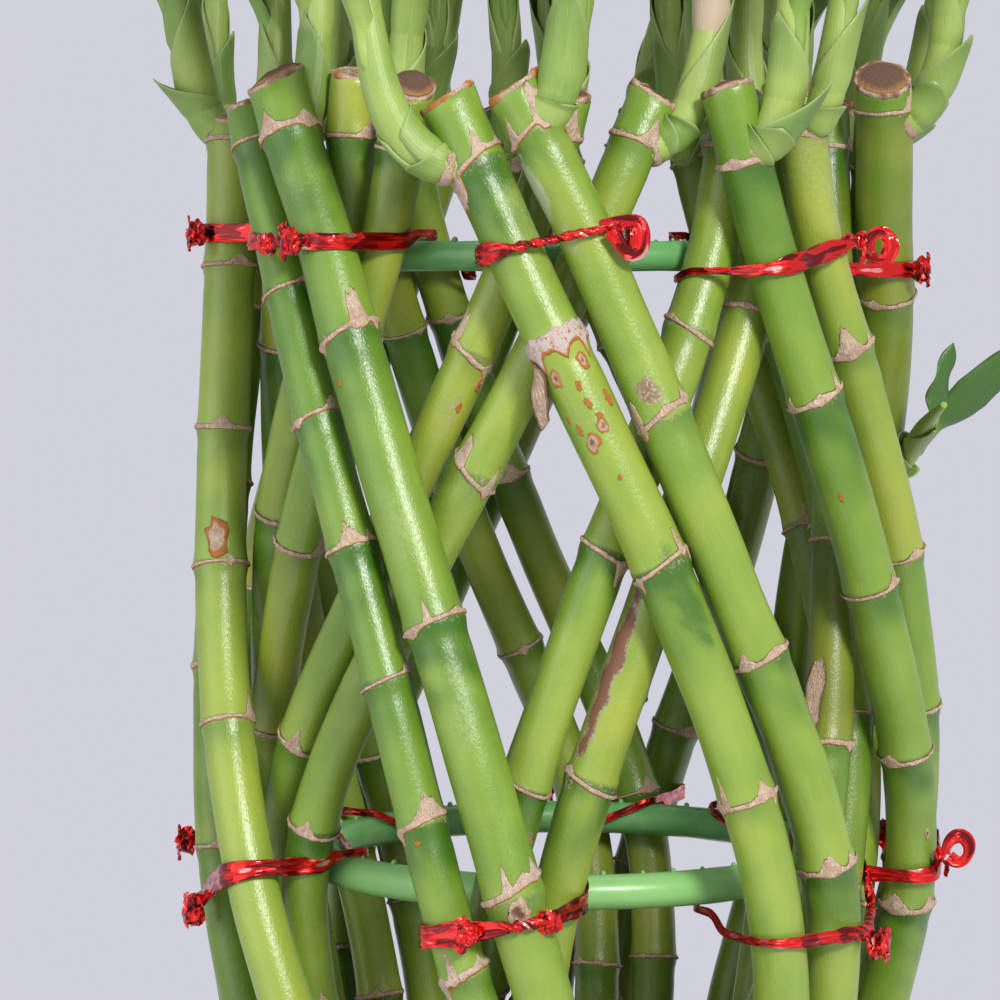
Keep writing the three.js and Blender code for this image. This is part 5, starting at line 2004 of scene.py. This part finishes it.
@dataclass
class Tie:
    """A foil twist tie round four canes and their hoop, with its twists and ends."""

    name: str
    hoop: Hoop
    plan: TiePlan
    bound: Sequence[Cane]
    seed: int
    kit: Kit
    finish: Material

    MARGIN = 0.45
    SWELL = 0.25
    CLIMB = 4.7
    RAMP = 11
    FRONT_RAMP = 17
    FRONT = (3, 9)
    HOOP_REACH = 8
    STEPS = 260
    PLEATS = 16
    PLEAT = 0.17
    FOIL = 0.2
    TWIST = 1.2
    BACK_WIDTH = 1.7
    FACE = (0.2, 0.95, 0.1)
    STRAP = (
        (-2, 0.6, 0.2), (1.5, 1.2, 1.1), (5.4, 1.4, 1.1), (5.9, 1.8, -1.4),
        (5.6, 2, -4.6), (3.6, 2.2, -5.6), (2, 2.4, -3.6), (0.2, 2.4, -0.6),
    )
    TAILS = (((0.6, 1.4, 2.0), (1.4, 1.4, 3.4)), ((0.5, 1.6, -2.0), (1.6, 1.2, -3.3)))
    LONG_TAIL = ((-0.6, 1.6, -2.6), (-1.4, 1.2, -4.6))

    def __post_init__(self) -> None:
        """Lays the tie's loop."""
        self.out = heading(self.plan.azimuth)
        self.along = np.cross([0, 0, 1], self.out)
        self.loop = self.lay()
        self.sheaf = Sheaf(f"{self.name}_foil", [self.finish])

    def rise(self, x: Array, y: Array) -> Array:
        """Height against the hoop, at x along it and y out from its centre."""
        side = self.plan.over * self.CLIMB * np.clip(x / self.RAMP, -1, 1)
        front = self.plan.front + self.plan.climb * np.clip(x / self.FRONT_RAMP, -1, 1)
        start, end = self.FRONT
        return side + (front - side) * ease(start, end, y - self.hoop.radius)

    def lay(self) -> Array:
        """The loop round the bundle, evenly stepped, as points along, out and up from the hoop's centre.

        Returns:
            The points, in millimetres.
        """
        corners = []

        def wrap(x: float, y: float, radius: float) -> None:
            """Adds a circle that the loop goes round."""
            angles = np.linspace(0, 2 * math.pi, 24, endpoint=False)
            far = radius + self.MARGIN
            corners.extend(zip(x + far * np.cos(angles), y + far * np.sin(angles)))

        def local(cane: Cane, rise: float) -> tuple[float, float]:
            """Place of a cane in the tie's frame, at a height against the hoop."""
            point = cane.centre(self.hoop.z + rise) - self.hoop.middle
            return float(point @ self.along), float(point @ self.out)

        for cane in self.bound:
            lift = 0.0
            for _ in range(4):
                lift = float(self.rise(*(np.array(value) for value in local(cane, lift))))
            for edge in (-2, 0, 2):
                wrap(*local(cane, lift + edge), cane.half + self.SWELL)
        for x in (-self.HOOP_REACH, self.HOOP_REACH):
            wrap(x, math.sqrt(self.hoop.radius**2 - x**2), self.hoop.wire / 2)
        outline = self.outline(np.array(corners))
        closed = np.vstack([outline, outline[:1]])
        run = np.concatenate([[0], np.cumsum(np.linalg.norm(np.diff(closed, axis=0), axis=1))])
        even = np.linspace(0, run[-1], 400, endpoint=False)
        x, y = (np.interp(even, run, closed[:, k]) for k in (0, 1))
        hidden = -int(np.argmin(y))
        x, y = np.roll(x, hidden), np.roll(y, hidden)
        self.girth = float(run[-1])
        return columns(x, y, self.rise(x, y))

    @staticmethod
    def outline(points: Array) -> Array:
        """Corners of the convex outline of points in a plane, in order.

        Args:
            points: The points.

        Returns:
            The corners.
        """
        ordered = points[np.lexsort((points[:, 1], points[:, 0]))]

        def chain(rows: Array) -> list[Array]:
            """One side of the outline."""
            kept: list[Array] = []
            for row in rows:
                while len(kept) > 1:
                    a, b = kept[-1] - kept[-2], row - kept[-2]
                    if a[0] * b[1] - a[1] * b[0] > 0:
                        break
                    kept.pop()
                kept.append(row)
            return kept[:-1]

        return np.array(chain(ordered) + chain(ordered[::-1]))

    def world(self, local: Array) -> Array:
        """Points of the tie's own frame in the plant's."""
        up = np.array([0, 0, 1.0])
        return self.hoop.middle + local[:, :1] * self.along + local[:, 1:2] * self.out + local[:, 2:] * up

    def root(self) -> Array:
        """Where the ends leave the loop."""
        if self.plan.knot_at is not None:
            return self.front_at(self.plan.knot_at)
        best = np.argmax(self.loop[:, 0] * self.plan.knot * 0.8 + self.loop[:, 1])
        return self.loop[best]

    def front_at(self, x: float) -> Array:
        """Place of the front strand at x along the tie."""
        ahead = self.loop[self.loop[:, 1] > self.hoop.radius + 6]
        return ahead[np.argmin(np.abs(ahead[:, 0] - x) - ahead[:, 1] * 0.2)]

    def turns(self, share: Array, rope: Array) -> Array:
        """How far the strand is turned on its length, in radians.

        Args:
            share: Places along the loop.
            rope: How far it is twisted to a rope there.

        Returns:
            The turns, which come to whole half turns where a twist ends.
        """
        order = np.argsort(share)
        steps = np.arange(self.STEPS) / self.STEPS
        rate = np.maximum(np.interp(steps, share[order], rope[order]) - 0.5, 0)
        turns = np.zeros(self.STEPS)
        edges = np.diff(np.concatenate([[False], rate > 0, [False]]).astype(int))
        for first, last in np.flatnonzero(edges).reshape(-1, 2):
            run = np.cumsum(rate[first:last])
            whole = max(round(2 * run[-1] * self.girth / self.STEPS * self.TWIST / math.pi), 1) * math.pi
            turns[first:last] += run / run[-1] * whole
            turns[last:] += whole
        return np.interp(share, steps, turns)

    def strand(self) -> None:
        """Adds the loop of foil, flat or twisted to a rope."""
        share = (np.radians(self.kit.band.turn) / (2 * math.pi)) % 1
        section = np.arctan2(-self.kit.band.points[:, 2], self.kit.band.reach - 1)
        smooth = np.copy(self.loop)
        for _ in range(10):
            smooth[:, 2] = (np.roll(smooth[:, 2], 1) + smooth[:, 2] + np.roll(smooth[:, 2], -1)) / 3
        count = len(smooth)
        where = share * count
        low = np.floor(where).astype(int) % count
        part = (where - np.floor(where))[:, None]
        spine = smooth[low] * (1 - part) + smooth[(low + 1) % count] * part
        tangent = unit(smooth[(low + 3) % count] - smooth[(low - 3) % count])
        outward = unit(columns(tangent[:, 1], -tangent[:, 0], 0.0))
        upward = np.cross(tangent, outward)
        upward *= np.sign(upward[:, 2:3])
        girth = share * self.girth
        fold = np.zeros(len(share))
        for k in range(self.PLEATS):
            here = np.round(section / (2 * math.pi) * self.PLEATS) % self.PLEATS == k
            pleat = ripple(columns(girth, k * 9.0, 0.0), self.seed * 11 + k, 5.5) + (0.7 if k % 2 else -0.7)
            fold = np.where(here, pleat, fold)
        stops, widths, twists = np.array(self.plan.stops).T
        front = ease(2, 8, spine[:, 1] - self.hoop.radius)
        rope = np.interp(spine[:, 0], stops, twists) * front
        wide = np.interp(spine[:, 0], stops, widths) * front + self.BACK_WIDTH * (1 - front)
        turned = self.turns(share, rope)
        half = wide / 2 * (1 + 0.1 * ripple(spine, self.seed + 1, 7))
        thin = self.FOIL + (0.7 * half - self.FOIL) * rope
        flat = np.cos(section) * thin + self.PLEAT * fold
        tall = np.sin(section) * half * (1 + 0.08 * fold * rope)
        across = np.cos(turned) * flat - np.sin(turned) * tall + rope * half * 0.5 + 0.15
        upright = np.sin(turned) * flat + np.cos(turned) * tall
        points = spine + outward * across[:, None] + upward * upright[:, None]
        self.sheaf.add(self.kit.band, self.world(points), 0, columns(tall, flat * 2 + self.seed * 7, girth))

    def ribbon(
        self,
        path: Sequence[Array],
        width: float,
        thick: float,
        number: int,
        face: Sequence[float] = FACE,
    ) -> None:
        """Adds a crumpled strip along a path.

        Args:
            path: Points in the tie's frame.
            width: Width of the strip.
            thick: Its thickness.
            number: Which of the tie's draws it takes.
            face: The way that its flat side looks.
        """
        share = self.kit.strip.points[:, 2]
        knots = np.linspace(0, 1, len(path))
        fine = np.linspace(0, 1, 60)

        def along(places: Array, values: Array, rows: Array) -> Array:
            """Rows of values read at places."""
            return columns(*(np.interp(places, values, rows[:, k]) for k in range(3)))

        line = along(fine, knots, np.asarray(path))
        for _ in range(8):
            line[1:-1] = (line[:-2] + line[1:-1] + line[2:]) / 3
        tangent = unit(along(share, fine, np.gradient(line, axis=0)))
        wide_way = unit(np.cross(tangent, face) + 1e-6)
        thin_way = np.cross(wide_way, tangent)
        seed = self.seed + number
        reach, (cos, sin, _) = self.kit.strip.reach, spoke(self.kit.strip.turn).T
        crumple = ripple(columns(cos * 6, sin * 6, share * 12), seed, 5)
        spread = width / 2 * (1 + 0.2 * np.sin(share * 9 + seed))
        points = along(share, fine, line) + wide_way * (cos * reach * spread * (1 + 0.08 * crumple))[:, None]
        points += thin_way * (sin * reach * thick + 0.22 * crumple * reach)[:, None]
        grain = columns(cos * spread + seed * 3, sin, share * 14)
        self.sheaf.add(self.kit.strip, self.world(points), 0, grain, smooth=False)

    def lump_of_foil(self, centre: Array, size: Sequence[float], number: int) -> None:
        """Adds a crumpled ball of foil.

        Args:
            centre: Its middle, in the tie's frame.
            size: Its half sizes.
            number: Which of the tie's draws it takes.
        """
        seed = self.seed + number
        sharp = unit(self.kit.lump.points)
        ridges = np.abs(ripple(sharp * 3, seed, 3.2)) * 0.42 + np.abs(ripple(sharp * 3, seed + 1, 1.7)) * 0.2
        points = centre + sharp * (1.12 - ridges)[:, None] * np.asarray(size) * [-1, 1, 1]
        self.sheaf.add(self.kit.lump, self.world(points), 0, points * 1.2, smooth=False)

    def knot(self) -> None:
        """Adds the twisted end of a tie."""
        plan, root, way, size = self.plan, self.root(), self.plan.knot, self.plan.knot_size
        mirror = np.array([way, 1, 1])
        inset = 1.6 if plan.knot_at is None else 0.0
        centre = root + [way * inset, size * 0.75 + 0.4, plan.raised]
        if plan.form is Knot.FOLD:
            self.lump_of_foil(centre, (size * 0.6, size * 0.5, size * 0.6), 5)
            self.ribbon(root + np.array(self.STRAP) * mirror, 3.3, 0.35, 60)
            return
        self.lump_of_foil(centre, (size, size * 0.85, size * 1.15), 5)
        if plan.lump_at is not None:
            self.lump_of_foil(self.front_at(plan.lump_at) + [0, 0.9, -0.6], (3.0, 1.5, 2.8), 6)
        path = [root + [-way * 3, 0.2, 0], root + [0, 1.0, plan.raised * 0.5], centre]
        self.ribbon(path, 2.6, 0.7, 60)
        if plan.form is Knot.BALL:
            for k, tail in enumerate(self.TAILS):
                self.ribbon([centre, *(centre + np.array(tail) * mirror)], 2.4, 0.3, 61 + k)
            return
        right = np.array([self.along[0], self.out[0], 0])
        right *= np.sign(way * right[0] + 2 * right[1])
        drop = -1.0 if plan.form is Knot.LOOP and not plan.raised else 1.2
        a = np.linspace(-0.4, 2 * math.pi - 0.6, 11)[:, None]
        for k, (turn, reach) in enumerate(((1, 4.8),) if plan.form is Knot.LOOP else ((1, 5.0), (-1, 4.4))):
            eye = right * (turn * reach * 0.42 * (1 - np.cos(a)) + 0.6) + [0, 0.6, drop]
            eye += np.sin(a * 0.5) * [0, 1.2, 0] + np.sin(a) * [0, 0, reach * 0.62]
            self.ribbon(centre + eye, 2.8, 0.3, 70 + k, (-self.along[1], -self.out[1], 0.1))
        self.ribbon([centre, *(centre + np.array(self.LONG_TAIL) * mirror)], 2.6, 0.3, 80)

    def make(self) -> Object:
        """The finished tie."""
        self.strand()
        self.knot()
        return self.sheaf.build()


@dataclass
class PebbleBed:
    """The bed of pebbles round the feet of the canes."""

    reach: float = 93.6
    layers: tuple[tuple[float, int], ...] = ((61.2, 700), (64.4, 640))
    seed: int = 4
    sizes: tuple[float, float] = (3.0, 5.4)
    closeness: float = 0.62
    profile: Line = (
        (0, 9.6), (71, 9.6), (87.2, 27.4), (93.6, 50.2), (93.8, 60.5), (0, 61.5)
    )

    def make(self, canes: Sequence[Cane], finish: Material) -> Object:
        """Makes the bed with its pebbles.

        Args:
            canes: The canes, which the pebbles leave room for.
            finish: Its material.

        Returns:
            The object.
        """
        sheaf = Sheaf("pebble_bed", [finish])
        bed = Form.take(Workshop.turned(self.profile, 64))
        sheaf.add(bed, bed.points / MM, 0, bed.points / MM, habit=(0.25, 0.4, 0.5))
        stone = Form.take(Workshop.stone(2, 0.3))
        rng = np.random.default_rng(self.seed)
        feet = np.array([cane.centre(UPRIGHT)[:2] for cane in canes])
        halves = np.array([cane.half for cane in canes])
        for level, count in self.layers:
            placed = np.zeros((0, 3))
            for _ in range(count * 30):
                if len(placed) == count:
                    break
                size = rng.uniform(*self.sizes)
                away = math.sqrt(rng.uniform(0, 1)) * (self.reach - size)
                spot = away * spoke(np.array(math.degrees(rng.uniform(0, 2 * math.pi))))[:2]
                near_cane = np.linalg.norm(feet - spot, axis=1) < halves + size * self.closeness
                gap = (placed[:, 2] + size) * self.closeness
                near_stone = np.linalg.norm(placed[:, :2] - spot, axis=1) < gap
                if near_cane.any() or near_stone.any():
                    continue
                placed = np.vstack([placed, [*spot, size]])
                self.pebble(stone, rng, np.array([*spot, level]), size, len(placed), sheaf)
        return sheaf.build()

    def pebble(
        self, stone: Form, rng: np.random.Generator, spot: Array, size: float, number: int, sheaf: Sheaf
    ) -> None:
        """Adds one pebble, turned and flattened its own way.

        Args:
            stone: The form that is copied.
            rng: The draws.
            spot: Its place.
            size: Half its size.
            number: Its number.
            sheaf: Where it goes.
        """
        shape = stone.points * [size, size * rng.uniform(0.68, 0.95), size * rng.uniform(0.5, 0.7)]
        shape = shape * (1 + 0.09 * ripple(stone.points * 3, number, 4))[:, None]
        tilt, spin = rng.normal(0, 0.22), rng.uniform(0, 2 * math.pi)
        turned = np.array(Matrix.Rotation(spin, 3, "Z") @ Matrix.Rotation(tilt, 3, "X"))
        points = shape @ turned.T + spot + [0, 0, rng.uniform(-0.8, 0.8)]
        habit = (rng.uniform(0, 1), rng.uniform(0, 1), 0.5)
        sheaf.add(stone, points, 0, shape + number * 11.0, habit=habit)


@dataclass
class Bowl:
    """The glazed bowl: a rounded wall on a foot ring, with a soft lip."""

    outside: Line = (
        (0, 1.2), (60, 1.2), (64, 0.4), (66, 0), (70.5, 0), (72, 0.5), (73, 2.2), (76, 5), (83, 12.6),
        (89, 21), (93.6, 31), (96.6, 41), (98.2, 51), (98.6, 62), (98.4, 72), (98.0, 74.6), (97.0, 75.9),
        (95.9, 76.0),
    )
    inside: Line = (
        (95.0, 75.2), (94.6, 73.4), (94.5, 60), (94.3, 50), (91.6, 37), (87.6, 27), (80, 17), (72, 9.2),
        (40, 9), (0, 9),
    )

    def make(self, finish: Material) -> Object:
        """Turns the bowl."""
        obj = Workshop.turned(self.outside + self.inside, 128)
        obj.name = obj.data.name = "bowl_glazed"
        obj.data.materials.append(finish)
        return obj


@dataclass(frozen=True)
class Lamp:
    """A square lamp that looks at the plant."""

    name: str
    place: tuple[float, float, float]
    size: float
    power: float
    colour: Colour

    def hang(self) -> None:
        """Adds the lamp."""
        data = bpy.data.lights.new(self.name, "AREA")
        data.size, data.energy, data.color = self.size, self.power, self.colour
        lamp = bpy.data.objects.new(self.name, data)
        lamp.location = self.place
        lamp.rotation_euler = (Vector((0, 0, 0.2)) - Vector(self.place)).to_track_quat("-Z", "Y").to_euler()
        bpy.context.scene.collection.objects.link(lamp)


@dataclass
class Studio:
    """Floor, light and camera."""

    distance: float = 0.850
    eye: float = 0.262
    lens: float = 139.5
    yaw: float = 0.887
    pitch: float = 3.603
    sensor: float = 36
    floor_radius: float = 0.52
    air: Colour = (0.638, 0.635, 0.715)
    lamps: tuple[Lamp, ...] = (
        Lamp("key", (0.5, -1.2, 0.85), 0.26, 19.5, (1.0, 0.98, 0.95)),
        Lamp("fill", (-1.15, -0.85, 0.5), 1.3, 8.0, (0.97, 0.98, 1.0)),
        Lamp("top", (0.1, 0.35, 1.35), 0.8, 6.0, (1.0, 1.0, 1.0)),
    )

    def floor(self) -> None:
        """Lays the floor."""
        add = bpy.ops.mesh.primitive_circle_add
        obj = Workshop.start(add, vertices=96, radius=self.floor_radius, fill_type="NGON")
        obj.name = "studio_floor"
        with Workshop.editing(Pick.FACES):
            bpy.ops.mesh.inset(thickness=0.2, depth=0)
        obj.data.materials.append(FloorFinish().paint())
        obj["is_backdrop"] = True

    def light(self) -> None:
        """Hangs the lamps and lights the air."""
        world = bpy.data.worlds.new("studio_air")
        bpy.context.scene.world = world
        world.use_nodes = True
        back = world.node_tree.nodes["Background"]
        back.inputs["Color"].default_value = (*self.air, 1)
        back.inputs["Strength"].default_value = 1.0
        for lamp in self.lamps:
            lamp.hang()

    def camera(self) -> None:
        """Sets the camera where the photographer stood."""
        data = bpy.data.cameras.new("camera")
        data.lens, data.sensor_width = self.lens, self.sensor
        camera = bpy.data.objects.new("camera", data)
        camera.location = (0, -self.distance, self.eye)
        camera.rotation_euler = (math.radians(90 - self.pitch), 0, math.radians(self.yaw))
        bpy.context.scene.collection.objects.link(camera)
        bpy.context.scene.camera = camera

    def build(self) -> None:
        """Sets the stage."""
        bpy.context.scene.view_settings.view_transform = "Standard"
        self.floor()
        self.light()
        self.camera()


class Plant:
    """The whole plant: canes, hoops, ties, pebbles and bowl, each standing for its solid."""

    def __init__(self) -> None:
        """Models what repeats and plans the canes."""
        self.kit = Kit()
        finishes = [finish().paint() for finish in (CaneFinish, PaperFinish, CutFinish, LeafFinish)]
        places = [(layer, pair, member) for layer in Layer for pair in range(8) for member in (0, 1)]
        self.canes = [Cane(*place, self.kit, finishes) for place in places]

    def settle(self, piece: Object, node: str) -> None:
        """Puts a finished piece in the place of its solid.

        Args:
            piece: The piece.
            node: Its solid.
        """
        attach(piece, "root")
        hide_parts(node)
        LOG.info("%s stands for %s with %d faces", piece.name, node, len(piece.data.polygons))

    def bind(self) -> None:
        """Makes the hoops and the ties, each round the two pairs of canes that cross there."""
        wire, foil = HoopFinish().paint(), FoilFinish().paint()
        for number, (hoop, plans) in enumerate(zip(HOOPS, (UPPER_TIES, LOWER_TIES))):
            self.settle(hoop.make(self.kit, wire), hoop.name)
            for i, plan in enumerate(plans):
                name = f"{hoop.name.replace('hoop', 'tie')}_{i + 1}"
                bound = [c for c in self.canes if c.pair == (i - number * c.layer.turn) % len(plans)]
                tie = Tie(name, hoop, plan, bound, 300 + i + 20 * number, self.kit, foil)
                self.settle(tie.make(), name)

    def build(self) -> None:
        """Makes everything."""
        for cane in self.canes:
            self.settle(cane.make(), f"stalk_{cane.name}")
        self.bind()
        self.settle(Bowl().make(GlazeFinish().paint()), "bowl")
        self.settle(PebbleBed().make(self.canes, PebbleFinish().paint()), "gravel")


def corners(bounds: Sequence[Sequence[float]]) -> list[list[float]]:
    """A box as plain lists of numbers."""
    return [[float(value) for value in corner] for corner in bounds]


def main() -> None:
    """Loads the frame, dresses it and sets the stage."""
    logging.basicConfig(level=logging.INFO, format="%(message)s")
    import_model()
    before = corners(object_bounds())
    Plant().build()
    Studio().build()
    {"cad": before, "visual": corners(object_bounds())}


if __name__ == "__main__":
    main()
